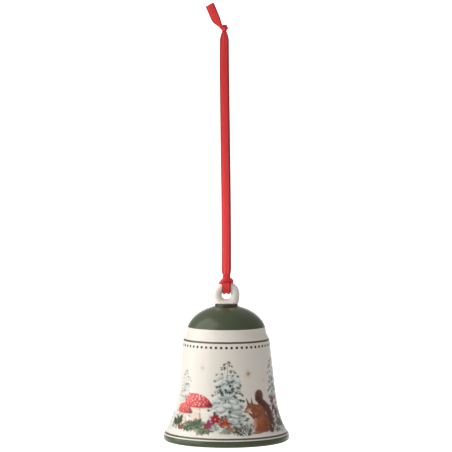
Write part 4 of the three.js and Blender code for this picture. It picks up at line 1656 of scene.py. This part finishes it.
@dataclass
class RibbonLoop:
    """The two runs of the loop, the knot that closes it and the cut tails. Sizes in millimetres."""

    datum: Datum
    satin: bpy.types.Material
    width: float = 4.0
    strand_foot: float = 78.5
    strand_length: float = 115.0
    sideways: tuple[Place, ...] = ((0, 0), (0.05, 0.12), (-0.1, 0.3), (-0.42, 0.5), (-0.75, 0.7),
                                   (-0.98, 0.88), (-0.95, 1))
    layer_gap: float = 0.3
    overlay: float = 0.24
    hitch_width: float = 3.0
    knot_width: float = 1.3
    knot_taper: float = 0.034
    knot_centre: Point = (-0.95, 0.0, 194.95)
    tail_foot: Place = (-3.1, 195.4)
    tail_lean: float = 24.9
    tail_length: float = 11.7
    tail_width: float = 4.05

    def strand_route(self, side: int) -> list[Vector]:
        """Middle of one run from the hitch up to the knot; side is -1 in front and 1 behind."""
        points = []
        for x, share in self.sideways:
            near_knot = step_up(share, 0.94, 1.0)
            offset = self.overlay * side * (1 - 0.6 * near_knot)
            points.append(self.datum.at(x + offset, side * self.layer_gap, self.strand_foot
                                        + share * self.strand_length))
        return smooth_route(points, 60)

    def facing(self, share: float) -> Vector:
        """Direction of the width: the loop turns slowly from facing left, low down, to facing right."""
        turn = math.radians(-13 + 26 * step_up(share, 0.15, 0.95))
        return Vector((math.cos(turn), math.sin(turn), 0))

    def strand_width(self, share: float) -> float:
        """Drawn in by the hitch below and by the knot above."""
        low = self.hitch_width + (self.width - self.hitch_width) * step_up(share, -0.008, 0.024)
        left = 1 - share
        opened = min(1.0, max(0.0, left / self.knot_taper)) ** 0.6
        high = self.knot_width + (self.width - self.knot_width) * opened
        return min(low, high)

    def strand_fold(self, across: float, share: float) -> float:
        """Slightly hollow all along, with pleats that run out of the knot and the hitch."""
        low = math.exp(-share * self.strand_length / 2.2)
        pleats = low + 1.9 * math.exp(-(1 - share) * self.strand_length / 3.6)
        return 0.3 * (1 - across**2) + 0.2 * pleats * math.cos(math.pi * 2.6 * across + 0.6)

    def strands(self) -> list[bpy.types.Object]:
        """The two runs of the loop, each a free cord from the hitch to the knot."""
        made = []
        for side, name in ((-1, "front_strand"), (1, "back_strand")):
            route = self.strand_route(side)
            depth = 1 if side < 0 else 0.9
            strip = Strip(name, route, self.facing, self.strand_width,
                          lambda across, share, d=depth: self.strand_fold(across, share) * d, row=0.45)
            made.append(dress(strip.build(), self.satin))
        return made

    def declare(self, strands: Sequence[bpy.types.Object]) -> None:
        """Attaches the two runs to the ribbon's body and hides their imported parts."""
        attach(strands[0], "ribbon")
        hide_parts("ribbon_front_strand")
        front, back = (self.strand_route(side) for side in (-1, 1))
        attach(strands[1], "ribbon")
        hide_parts("ribbon_back_strand")

    def knot(self) -> list[bpy.types.Object]:
        """Overhand knot: two turns of gathered ribbon, crossed round a tight core."""
        x, y, h = self.knot_centre
        middle = self.datum.at(x, y, h)
        turns = (("knot_outer_turn", 26, 1.62, 1.4, 1.9, 0.3, 196),
                 ("knot_inner_turn", -34, 1.4, 1.2, 1.6, 0.34, 190))
        made = []
        for name, tilt, wide, deep, width, crumple, half in turns:
            lean = math.radians(tilt)
            right = Vector((math.cos(lean), 0, math.sin(lean)))
            up = Vector((-math.sin(lean), 0, math.cos(lean)))
            points = []
            for k in range(13):
                a = math.radians(-half + 2 * half * k / 12)
                drift = 0.35 * a / math.pi
                across = right * wide * math.cos(a - math.pi / 2)
                inward = Vector((0, 1, 0)) * deep * math.sin(a - math.pi / 2)
                points.append(middle + (across + inward + up * drift) * MM)
            strip = Strip(name, smooth_route(points, 70), lambda share, u=up: u,
                          lambda share, w=width: w * (0.82 + 0.25 * abs(math.cos(math.pi * share * 2))),
                          lambda across, share, c=crumple: c * (0.7 * (1 - across**2)
                                                                + 0.45 * math.cos(7 * across + 5 * share)),
                          row=0.16)
            made.append(dress(strip.build(), self.satin))
        made.append(self.core(middle))
        return made

    def core(self, middle: Vector) -> bpy.types.Object:
        """The gathered middle of the knot, creased along the way the ribbon passes through."""
        Bench.clear()
        bpy.ops.mesh.primitive_ico_sphere_add(subdivisions=5, radius=MM, location=(0, 0, 0))
        piece = Bench.named("knot_core")
        Bench.settle(piece)
        lean = math.radians(14)
        for vertex in piece.data.vertices:
            out = vertex.co / MM
            around = math.atan2(out.y, out.x)
            crease = 1 + 0.07 * math.cos(7 * around + 1.5 * out.z) * (1 - 0.6 * abs(out.z))
            x, y, z = 1.4 * out.x * crease, 1.2 * out.y * crease, 1.75 * out.z
            vertex.co = middle + Vector((x * math.cos(lean) - z * math.sin(lean), y,
                                         x * math.sin(lean) + z * math.cos(lean))) * MM
        layer = piece.data.uv_layers[0]
        layer.name = "weave"
        for loop in piece.data.loops:
            off = (piece.data.vertices[loop.vertex_index].co - middle) / MM
            layer.data[loop.index].uv = (1.5 * math.sin(3 * math.atan2(off.y, off.x)), off.z)
        Bench.smooth(piece, 70)
        return dress(piece, self.satin)

    def tails(self) -> list[bpy.types.Object]:
        """The two cut ends, which lean to the left and splay a little."""
        lean = math.radians(self.tail_lean)
        x, h = self.tail_foot
        made = []
        for side, name in ((-1, "front_tail"), (1, "back_tail")):
            along = Vector((-math.sin(lean), side * 0.05, math.cos(lean)))
            right = Vector((math.cos(lean), 0, math.sin(lean)))
            shift = 0.3 if side > 0 else 0.0

            def width(share: float) -> float:
                """Drawn in by the knot at the tail's root."""
                return self.tail_width * (0.34 + 0.66 * step_up(share, 0.0, 0.46))

            points = []
            for k in range(12):
                share = k / 11
                drawn = (self.tail_width - width(share)) / 2
                far = -1.2 + share * (self.tail_length + 1.2 - (0.35 if side > 0 else 0.0))
                bow = -0.25 * math.sin(math.pi * share)
                points.append(self.datum.at(x, side * 0.22, h) + along * far * MM
                              + right * (drawn * 0.55 + bow * 0.5 + shift * share) * MM
                              + Vector((0, side * 0.12 * share, 0)) * MM)
            strip = Strip(name, smooth_route(points, 50), lambda share, r=right: r, width,
                          lambda across, share, s=side: 0.24 * math.exp(-share * 5) * math.cos(5 * across + s)
                          + 0.16 * (1 - across**2) + 0.06 * math.sin(9 * share + s),
                          slant=0.5 if side < 0 else 0.15, row=0.2)
            made.append(dress(strip.build(), self.satin))
        return made

    def build(self) -> list[bpy.types.Object]:
        strands = self.strands()
        knot = self.knot()
        tails = self.tails()
        for piece in (*knot, *tails):
            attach(piece, "ribbon")
        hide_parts("ribbon_knot")
        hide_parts("ribbon_front_tail")
        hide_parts("ribbon_back_tail")
        self.declare(strands)
        return [*strands, *knot, *tails]


@dataclass
class RingSize:
    """The hanger ring that the ribbon is hitched to, in millimetres."""

    centre: float = 68.85
    radius: float = 4.2
    bar: float = 2.06
    squareness: float = 0.035

    def bulge(self, x: float, up: float) -> float:
        """How far the ring stands out of a true circle in one direction, as a share of its radius."""
        return 1 + self.squareness * math.sin(2 * math.atan2(up, x)) ** 2

    def clearance(self, x: float, y: float, height: float) -> float:
        """Distance of a point from the ring's surface, negative inside its bar."""
        out = math.hypot(x, height - self.centre) / self.bulge(x, height - self.centre)
        return math.hypot(out - self.radius, y) - self.bar


@dataclass
class Hitch:
    """Lark's head of ribbon round the ring: two runs through it and the bight across them.

    Sizes are in millimetres. `front_lift` and `back_lift` hold the two runs off the ring's bar, which they
    wrap from `wrap_start` to `wrap_end` degrees over its top. `bridge` is how far a run arches off the bar,
    most at the share `bridge_at` of its length.
    """

    datum: Datum
    satin: bpy.types.Material
    ring: RingSize
    loop: RibbonLoop
    flex_foot: float = 77.3
    bight_clear: float = 0.2
    front_lift: float = 0.74
    back_lift: float = 0.38
    wrap_start: float = 52.0
    wrap_end: float = 300.0
    bridge: float = 0.55
    bridge_at: float = 0.58
    bridge_spread: float = 0.13

    def lay_on_ring(self, place: Vector) -> Vector:
        """Bends a flat run sideways round the ring, as cloth that lies on a curved bar."""
        height = self.datum.height(place.z)
        rho = height - self.ring.centre
        share = 1 - step_up(height, 75.0, 77.2)
        turn = max(-1.2, min(1.2, place.x / MM / rho))
        bent = self.datum.at(rho * math.sin(turn), place.y / MM, self.ring.centre + rho * math.cos(turn))
        return place.lerp(bent, share)

    def run(self, side: int) -> bpy.types.Object:
        """One run: from the strand's end down the ring's front, through the hole and up behind.

        Args:
            side: -1 for the run that continues the front strand, 1 for the one behind it.

        Returns:
            The piece.
        """
        lift = self.ring.bar + (self.front_lift if side < 0 else self.back_lift)
        lead = [(side * self.loop.layer_gap, 78.5), (-0.55 + 0.42 * side, 77.4), (-1.2 + 0.36 * side, 76.2)]
        arc = []
        for k in range(15):
            theta = math.radians(self.wrap_start + k * (self.wrap_end - self.wrap_start) / 14)
            up = self.ring.centre + self.ring.radius + lift * math.cos(theta)
            arc.append((-lift * math.sin(theta), up))
        finish = [(1.75 + 0.2 * side, 75.9)]
        x = self.loop.overlay * side
        points = []
        for k, (y, h) in enumerate(lead + arc + finish):
            points.append(self.datum.at(x * (1 - 0.5 * min(1, k / 4)), y, h))
        route = smooth_route(points, 120)
        first = self.loop.facing(0.0)

        def facing(share: float) -> Vector:
            """Turns from the strand's own direction to straight across."""
            return first.lerp(Vector((1, 0, 0)), step_up(share, 0.0, 0.1)).normalized()

        def width(share: float) -> float:
            """Drawn in by the bight, and full on the ring."""
            opened = step_up(share, 0.07, 0.22)
            return self.loop.hitch_width + (self.loop.width - self.loop.hitch_width) * opened

        def fold(across: float, share: float) -> float:
            """Pleated under the bight, and arched where it leaves the ring's hole."""
            pleats = math.exp(-share * 9)
            bridge = self.bridge * math.exp(-((share - self.bridge_at) / self.bridge_spread) ** 2)
            ripple = 0.2 * pleats * math.cos(math.pi * 2.6 * across + 0.6)
            return (0.13 * pleats - bridge) * (1 - across**2) + ripple

        name = "hitch_front_run" if side < 0 else "hitch_back_run"
        strip = Strip(name, route, facing, width, fold, shape=self.lay_on_ring, row=0.2)
        piece = dress(strip.build(), self.satin)
        self.datum.z(self.loop.strand_foot)
        self.datum.z(self.flex_foot)
        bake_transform(piece)
        return piece

    def clear_of_ring(self, place: Vector) -> Vector:
        """Moves a point out of the ring's bar until it is clear of it."""
        x, y, h = place.x / MM, place.y / MM, self.datum.height(place.z)
        missing = self.bight_clear + 0.13 - self.ring.clearance(x, y, h)
        if missing <= 0:
            return place
        out = math.hypot(x, h - self.ring.centre)
        core = Vector((x / out, 0, (h - self.ring.centre) / out)) * self.ring.radius
        here = Vector((x, y, h - self.ring.centre))
        moved = here + (here - core).normalized() * missing
        return self.datum.at(moved.x, moved.y, moved.z + self.ring.centre)

    def bight(self) -> bpy.types.Object:
        """The end of the loop: across the front of both runs, round them and down behind the ring."""
        places = [(0.5, 3.1, 73.9), (-0.6, 2.8, 74.5), (-2.3, 2.0, 74.4), (-3.05, 0.5, 74.3),
                  (-2.75, -1.0, 74.8), (-1.8, -2.1, 75.65), (-0.4, -2.6, 76.4), (0.9, -2.45, 76.5),
                  (2.1, -1.6, 76.0), (2.75, -0.2, 75.3), (2.5, 1.7, 74.8), (0.7, 2.85, 74.5),
                  (-0.5, 3.15, 73.8)]
        route = smooth_route([self.datum.at(*place) for place in places], 130)

        def facing(share: float) -> Vector:
            """Upright, and leaning out over the runs."""
            lean = 0.35 * math.sin(math.pi * share)
            return Vector((0.0, -lean, 1.0))

        def width(share: float) -> float:
            """Gathered narrow, and wider where it crosses in front."""
            front = math.exp(-((share - 0.5) / 0.13) ** 2)
            return 1.1 + 1.2 * front + 0.75 * step_up(share, 0.55, 0.72)

        def fold(across: float, share: float) -> float:
            """Rounded outwards, with one crease that wanders along it."""
            return -(0.42 * (1 - across**2) + 0.15 * math.cos(8.5 * across + 3 * share))

        strip = Strip("hitch_bight", route, facing, width, fold, start=20.0, shape=self.clear_of_ring,
                      row=0.15)
        piece = dress(strip.build(), self.satin)
        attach(piece, "hitch")
        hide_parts("ribbon_hitch")
        return piece

    def build(self) -> list[bpy.types.Object]:
        """Builds both runs and the bight."""
        return [self.run(-1), self.run(1), self.bight()]


# Bell -------------------------------------------------------------------------------------------


@dataclass
class BellBody:
    """The turned porcelain shell, its glaze and its frieze. Sizes in millimetres."""

    datum: Datum
    finishes: Finishes
    rim_radius: float = 30.0
    wall: float = 3.0
    lip_round: float = 1.5
    foot_width: float = 1.3
    lip_flank: tuple[Place, ...] = ((29.96, 2.1), (29.86, 2.7), (29.7, 3.25))
    lip_top: Place = (29.5, 3.7)
    flare_handle: Place = (22.6, 11.8)
    waist_handle: Place = (23.0, 32.4)
    shoulder: Place = (20.4, 48.2)
    shoulder_step: tuple[Place, ...] = ((20.41, 47.95), (20.32, 48.35), (20.14, 48.75), (19.35, 50.15),
                                        (19.08, 50.65), (18.87, 51.2))
    dome_foot: Place = (18.9, 50.9)
    dome_height: float = 13.3
    frieze_top: float = 41.6
    frieze_row: float = 0.33
    columns: int = 540

    def waist(self, count: int) -> np.ndarray:
        """Radius and height pairs along the waist's curve from lip to shoulder."""
        t = np.linspace(0, 1, count)[:, None]
        corners = (self.lip_top, self.flare_handle, self.waist_handle, self.shoulder)
        a, b, c, d = (np.array(corner) for corner in corners)
        return a * (1 - t) ** 3 + 3 * b * t * (1 - t) ** 2 + 3 * c * t**2 * (1 - t) + d * t**3

    def outside(self) -> list[Place]:
        """Outer outline from the foot up to the crown."""
        points = []
        for k in range(9):
            a = math.pi / 2 * k / 8
            points.append((self.rim_radius - self.lip_round * (1 - math.sin(a)),
                           self.lip_round * (1 - math.cos(a))))
        points += self.lip_flank
        curve = self.waist(400)
        heights = list(np.arange(self.lip_top[1], self.frieze_top, self.frieze_row))
        heights += list(np.arange(self.frieze_top, self.shoulder[1] - 0.3, 0.9))
        points += [(float(np.interp(h, curve[:, 1], curve[:, 0])), float(h)) for h in heights]
        points += self.shoulder_step
        for k in range(2, 21):
            a = math.pi / 2 * k / 20
            points.append((self.dome_foot[0] * math.cos(a),
                           self.dome_foot[1] + self.dome_height * math.sin(a)))
        points[-1] = (0.0, points[-1][1])
        return points

    def inside(self) -> list[Place]:
        """Inner outline from the crown down to the foot's inner edge."""
        points = [(0.0, self.dome_foot[1] + self.dome_height - self.wall)]
        for k in range(7, -1, -1):
            a = math.pi / 2 * k / 8
            points.append(((self.dome_foot[0] - self.wall) * math.cos(a),
                           self.dome_foot[1] + (self.dome_height - self.wall) * math.sin(a)))
        curve = self.waist(14)
        run = np.gradient(curve, axis=0)
        run /= np.linalg.norm(run, axis=1)[:, None]
        inner = curve + self.wall * np.stack([-run[:, 1], run[:, 0]], axis=1)
        points += [(float(r), float(h)) for r, h in inner[::-1]]
        foot_inner = self.rim_radius - self.lip_round - self.foot_width
        points += [(foot_inner - 0.1, 1.6), (foot_inner - 0.02, 0.5), (foot_inner + 0.12, 0.12),
                   (foot_inner + 0.35, 0)]
        return points

    def shell(self) -> bpy.types.Object:
        """Turns the shell and shades it smooth."""
        outside = self.outside()
        outline = [*outside, *self.inside(), outside[0]]
        piece = Bench.turned("bell_body", outline, self.datum, self.columns)
        Bench.smooth(piece, 50)
        return piece

    def paint(self, piece: bpy.types.Object) -> None:
        """Stores, at each vertex, whether it is outside and what the frieze paints there."""
        mesh = piece.data
        places = np.empty(len(mesh.vertices) * 3)
        mesh.vertices.foreach_get("co", places)
        places = places.reshape(-1, 3)
        radius = np.hypot(places[:, 0], places[:, 1]) / MM
        height = (places[:, 2] - self.datum.foot_z) / MM
        line = np.array(self.outside())
        outer = np.interp(height, line[:, 1], line[:, 0])
        is_out = radius > outer - self.wall * 0.35
        is_out |= (height < 0.05) & (radius > self.rim_radius - self.lip_round - 0.1)
        mesh.attributes.new("outside", "FLOAT", "POINT").data.foreach_set("value", is_out.astype(np.float32))

        rows = np.array([h for _, h in self.outside() if self.lip_top[1] < h < self.frieze_top])
        turns = np.arange(self.columns) * 2 * math.pi / self.columns - math.pi
        canvas = Canvas(turns, rows, Tint.GROUND.value)
        WinterWood(canvas, Tint.GROUND.value).paint()
        shown = is_out & (height > rows[0] - 0.1) & (height < rows[-1] + 0.1)
        row = np.clip(np.searchsorted(rows, height - self.frieze_row / 2), 0, len(rows) - 1)
        angle = np.arctan2(places[:, 0], -places[:, 1])
        column = np.rint((angle + math.pi) / (2 * math.pi) * self.columns).astype(int) % self.columns
        display = canvas.colour[row, column]
        light = np.where(display <= 0.04045, display / 12.92, ((display + 0.055) / 1.055) ** 2.4)
        cover = canvas.cover[row, column] * shown
        values = np.concatenate([light, cover[:, None]], axis=1).astype(np.float32)
        mesh.attributes.new("frieze", "FLOAT_COLOR", "POINT").data.foreach_set("color", values.ravel())

    def build(self) -> bpy.types.Object:
        """Builds, paints and dresses the shell."""
        piece = self.shell()
        self.paint(piece)
        dress(piece, self.finishes.painted)
        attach(piece, "bell")
        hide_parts("bell_shell")
        return piece


@dataclass
class Crown:
    """What stands on the dome and hangs under it: collar, ring and lug. Sizes in millimetres."""

    datum: Datum
    finishes: Finishes
    ring: RingSize
    body: BellBody
    collar_radius: float = 5.45
    collar_top: float = 64.72
    collar_spread: float = 1.15
    seat: float = 64.9
    foot_bar: float = 0.15
    flare_height: float = 3.0
    flare_wide: float = 0.06
    flare_deep: float = 0.5
    lug_radius: float = 2.6
    lug_bar: float = 1.3
    lug_centre: float = 58.485
    lug_top: float = 60.585
    root_height: float = 1.5
    root_deep: float = 0.35
    root_rise: float = 0.32

    def dome(self, radius: float) -> float:
        """Height of the dome's outside at a distance from the axis."""
        wide, foot = self.body.dome_foot
        return foot + self.body.dome_height * math.sqrt(1 - (radius / wide) ** 2)

    def collar(self) -> bpy.types.Object:
        """A low olive collar, filleted on to the dome and rounded at its top."""
        spread = self.collar_radius + self.collar_spread
        points = [(0.0, self.dome(0) + 0.02)]
        points += [(r, self.dome(r) + 0.02) for r in (spread * 0.4, spread * 0.75, spread)]
        foot = self.dome(spread) + 0.02
        fillet = self.collar_spread
        for k in range(1, 8):
            a = math.pi / 2 * k / 8
            points.append((spread - fillet * math.sin(a), foot + 0.1 + 0.55 * (1 - math.cos(a))))
        top = self.collar_top
        points += [(self.collar_radius, top - 0.45), (self.collar_radius - 0.03, top - 0.22),
                   (self.collar_radius - 0.14, top - 0.06), (self.collar_radius - 0.34, top), (0.0, top)]
        piece = Bench.turned("neck_collar_glazed", [*points, points[0]], self.datum, 120)
        Bench.smooth(piece, 45)
        dress(piece, self.finishes.olive)
        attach(piece, "bell")
        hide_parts("neck_collar")
        return piece

    def fattened(self, place: Vector) -> Vector:
        """Moves a point of the ring away from its centre line, the more the lower it lies."""
        x, y, up = place.x / MM, place.y / MM, self.datum.height(place.z) - self.ring.centre
        out = math.hypot(x, up)
        core = self.ring.radius / out
        grow = 1 + self.foot_bar * max(0.0, -up / out) ** 2
        x, up = (value * (core + (1 - core) * grow) for value in (x, up))
        return self.datum.at(x, y * grow, self.ring.centre + up)

    def hanger(self) -> bpy.types.Object:
        """The ring, its foot spread where it is stuck to the collar."""
        piece = Bench.ring("hanger_ring_glazed", self.datum.at(0, 0, self.ring.centre), self.ring.radius,
                           self.ring.bar, (math.pi / 2, 0, 0), 128, 48)
        for vertex in piece.data.vertices:
            vertex.co = self.fattened(vertex.co)
            height = self.datum.height(vertex.co.z)
            out = self.ring.bulge(vertex.co.x / MM, height - self.ring.centre)
            spread = step_up(self.seat + self.flare_height - height, 0.0, self.flare_height) ** 2
            vertex.co.x *= out * (1 + self.flare_wide * spread)
            vertex.co.y *= 1 + self.flare_deep * spread
            vertex.co.z = self.datum.z(self.ring.centre + (height - self.ring.centre) * out)
        Bench.cut(piece, self.datum.at(0, 0, self.seat), (0, 0, 1), keep_below=False)
        Bench.apply(piece, "BEVEL", width=0.12 * MM, segments=3, limit_method="ANGLE",
                    angle_limit=math.radians(50))
        Bench.smooth(piece, 40)
        dress(piece, self.finishes.ivory)
        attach(piece, "bell")
        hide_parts("hanger_ring")
        return piece

    def lug(self) -> bpy.types.Object:
        """The eye inside the crown, its root spread into the glaze above it."""
        piece = Bench.ring("crown_lug_glazed", self.datum.at(0, 0, self.lug_centre), self.lug_radius,
                           self.lug_bar, (math.pi / 2, 0, 0), 72, 32)
        Bench.cut(piece, self.datum.at(0, 0, self.lug_top), (0, 0, 1), keep_below=True)
        for vertex in piece.data.vertices:
            height = self.datum.height(vertex.co.z)
            spread = step_up(height, self.lug_top - self.root_height, self.lug_top) ** 2
            vertex.co.y *= 1 + self.root_deep * spread
            vertex.co.z += self.root_rise * MM * spread
        Bench.smooth(piece, 45)
        dress(piece, self.finishes.ivory)
        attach(piece, "bell")
        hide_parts("crown_lug")
        return piece

    def build(self) -> list[bpy.types.Object]:
        """Builds collar, ring and lug."""
        return [self.collar(), self.hanger(), self.lug()]


@dataclass
class Clapper:
    """Link, stem, bead and ferrule that swing in the bell. Sizes in millimetres."""

    datum: Datum
    finishes: Finishes
    link_middle: float = 53.885
    link_radius: float = 2.25
    link_leg: float = 4.0
    wire: float = 0.6
    eye_centre: float = 49.635
    eye_radius: float = 1.55
    stem_tip: float = 2.918
    wraps: float = 3.25
    ball_centre: float = 11.0
    ball_radius: float = 6.0
    bore: float = 0.78
    stop_top: float = 4.9
    stop_height: float = 1.75
    stop_radius: float = 1.5
    pinch_in: float = 0.26
    pinch_out: float = 0.05

    def link(self) -> bpy.types.Object:
        """A round link pulled into an oval by straight legs."""
        piece = Bench.ring("clapper_link_wire", Vector((0, 0, 0)), self.link_radius, self.wire,
                           (0, math.pi / 2, 0), 64, 20)
        for end in (-1, 1):
            Bench.pick(piece, lambda co, e=end: co.z * e > 1e-6)
            bpy.ops.transform.translate(value=(0, 0, end * self.link_leg / 2 * MM))
            bpy.ops.object.mode_set(mode="OBJECT")
        piece.location = self.datum.at(0, 0, self.link_middle)
        Bench.settle(piece)
        Bench.smooth(piece, 60)
        dress(piece, self.finishes.wire)
        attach(piece, "clapper_link")
        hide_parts("clapper_link")
        return piece

    def coil(self) -> bpy.types.Object:
        """The stem's own end wound round it under the eye."""
        pitch = self.wire * 2.08
        foot = self.eye_centre - self.eye_radius - self.wire - pitch * self.wraps
        Bench.clear()
        bpy.ops.mesh.primitive_circle_add(vertices=12, radius=self.wire * 0.92 * MM, fill_type="NGON",
                                          location=self.datum.at(self.wire * 1.9, 0, foot),
                                          rotation=(math.pi / 2, 0, 0))
        piece = Bench.named("stem_coil")
        Bench.settle(piece)
        steps = int(28 * self.wraps)
        Bench.apply(piece, "SCREW", angle=2 * math.pi * self.wraps, screw_offset=pitch * self.wraps * MM,
                    steps=steps, render_steps=steps, axis="Z", use_merge_vertices=True)
        Bench.take(piece)
        bpy.ops.object.mode_set(mode="EDIT")
        bpy.ops.mesh.select_all(action="DESELECT")
        bpy.ops.mesh.select_mode(type="EDGE")
        bpy.ops.mesh.select_non_manifold(extend=False)
        bpy.ops.mesh.fill_holes(sides=0)
        bpy.ops.mesh.select_mode(type="VERT")
        bpy.ops.mesh.select_all(action="SELECT")
        bpy.ops.mesh.normals_make_consistent(inside=False)
        bpy.ops.object.mode_set(mode="OBJECT")
        return piece

    def stem(self) -> bpy.types.Object:
        """A straight wire whose top is bent into an eye and wound round itself."""
        top = self.eye_centre - self.eye_radius
        Bench.clear()
        bpy.ops.mesh.primitive_cylinder_add(vertices=28, radius=self.wire * MM,
                                            depth=(top - self.stem_tip) * MM,
                                            location=self.datum.at(0, 0, (top + self.stem_tip) / 2))
        piece = Bench.named("clapper_stem_wire")
        Bench.settle(piece)
        Bench.pick(piece, lambda co: self.datum.height(co.z) < self.stem_tip + 0.05)
        bpy.ops.mesh.bevel(offset=0.2 * MM, segments=3, affect="EDGES")
        bpy.ops.object.mode_set(mode="OBJECT")
        eye = Bench.ring("stem_eye", self.datum.at(0, 0, self.eye_centre), self.eye_radius, self.wire,
                         (math.pi / 2, 0, 0), 64, 20)
        for part in (eye, self.coil()):
            Bench.apply(piece, "BOOLEAN", operation="UNION", object=part, solver="EXACT")
            bpy.data.objects.remove(part)
        Bench.smooth(piece, 45)
        dress(piece, self.finishes.wire)
        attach(piece, "clapper")
        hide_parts("clapper_stem")
        return piece

    def ball(self) -> bpy.types.Object:
        """A glazed bead with an eased bore."""
        points = []
        start = math.asin((self.bore + 0.35) / self.ball_radius)
        for k in range(41):
            a = start + (math.pi - 2 * start) * k / 40
            points.append((self.ball_radius * math.sin(a), self.ball_centre - self.ball_radius * math.cos(a)))
        low, high = points[0][1], points[-1][1]
        points += [(self.bore + 0.1, high - 0.08), (self.bore, high - 0.35), (self.bore, low + 0.35),
                   (self.bore + 0.1, low + 0.08)]
        piece = Bench.turned("clapper_ball_glazed", [*points, points[0]], self.datum, 72)
        Bench.smooth(piece, 40)
        dress(piece, self.finishes.ivory)
        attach(piece, "clapper")
        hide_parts("clapper_ball")
        return piece

    def stop(self) -> bpy.types.Object:
        """A ferrule crimped on the stem: pinched flat at its waist from front and back."""
        foot, top = self.stop_top - self.stop_height, self.stop_top
        r = self.stop_radius
        points = [(self.bore, foot), (r - 0.3, foot), (r - 0.08, foot + 0.1), (r, foot + 0.3)]
        points += [(r, foot + 0.3 + (self.stop_height - 0.6) * k / 6) for k in range(1, 7)]
        points += [(r - 0.08, top - 0.1), (r - 0.3, top), (self.bore, top)]
        piece = Bench.turned("clapper_stop_crimped", [*points, points[0]], self.datum, 48)
        for vertex in piece.data.vertices:
            share = (self.datum.height(vertex.co.z) - foot) / self.stop_height
            pinch = math.sin(math.pi * min(1.0, max(0.0, share))) ** 2
            reach = math.hypot(vertex.co.x, vertex.co.y) / MM
            if reach > self.bore + 0.2:
                vertex.co.y *= 1 - self.pinch_in * pinch
                vertex.co.x *= 1 + self.pinch_out * pinch
        Bench.smooth(piece, 45)
        dress(piece, self.finishes.brass)
        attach(piece, "clapper")
        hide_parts("clapper_stop")
        return piece

    def build(self) -> list[bpy.types.Object]:
        """Builds link, stem, bead and ferrule."""
        return [self.link(), self.stem(), self.ball(), self.stop()]


# Assembly ---------------------------------------------------------------------------------------


def report(pieces: bpy.types.Object | Iterable[bpy.types.Object]) -> None:
    """Logs each piece with its number of faces."""
    for piece in [pieces] if isinstance(pieces, bpy.types.Object) else pieces:
        LOG.info("%s: %d faces", piece.name, len(piece.data.polygons))


def main() -> None:
    """Builds the ornament in order: camera and ribbon first, then bell, clapper and studio."""
    logging.basicConfig(level=logging.INFO, format="%(name)s: %(message)s")
    Bench.clear()
    datum = Datum(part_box("bell_shell")[0].z)
    studio = Studio(datum)
    studio.camera()
    finishes = Finishes(datum)
    loop = RibbonLoop(datum, finishes.satin)
    report(loop.build())
    ring = RingSize()
    report(Hitch(datum, finishes.satin, ring, loop).build())
    body = BellBody(datum, finishes)
    report(body.build())
    report(Crown(datum, finishes, ring, body).build())
    report(Clapper(datum, finishes).build())
    studio.sweep()
    studio.lights()


if __name__ == "__main__":
    main()
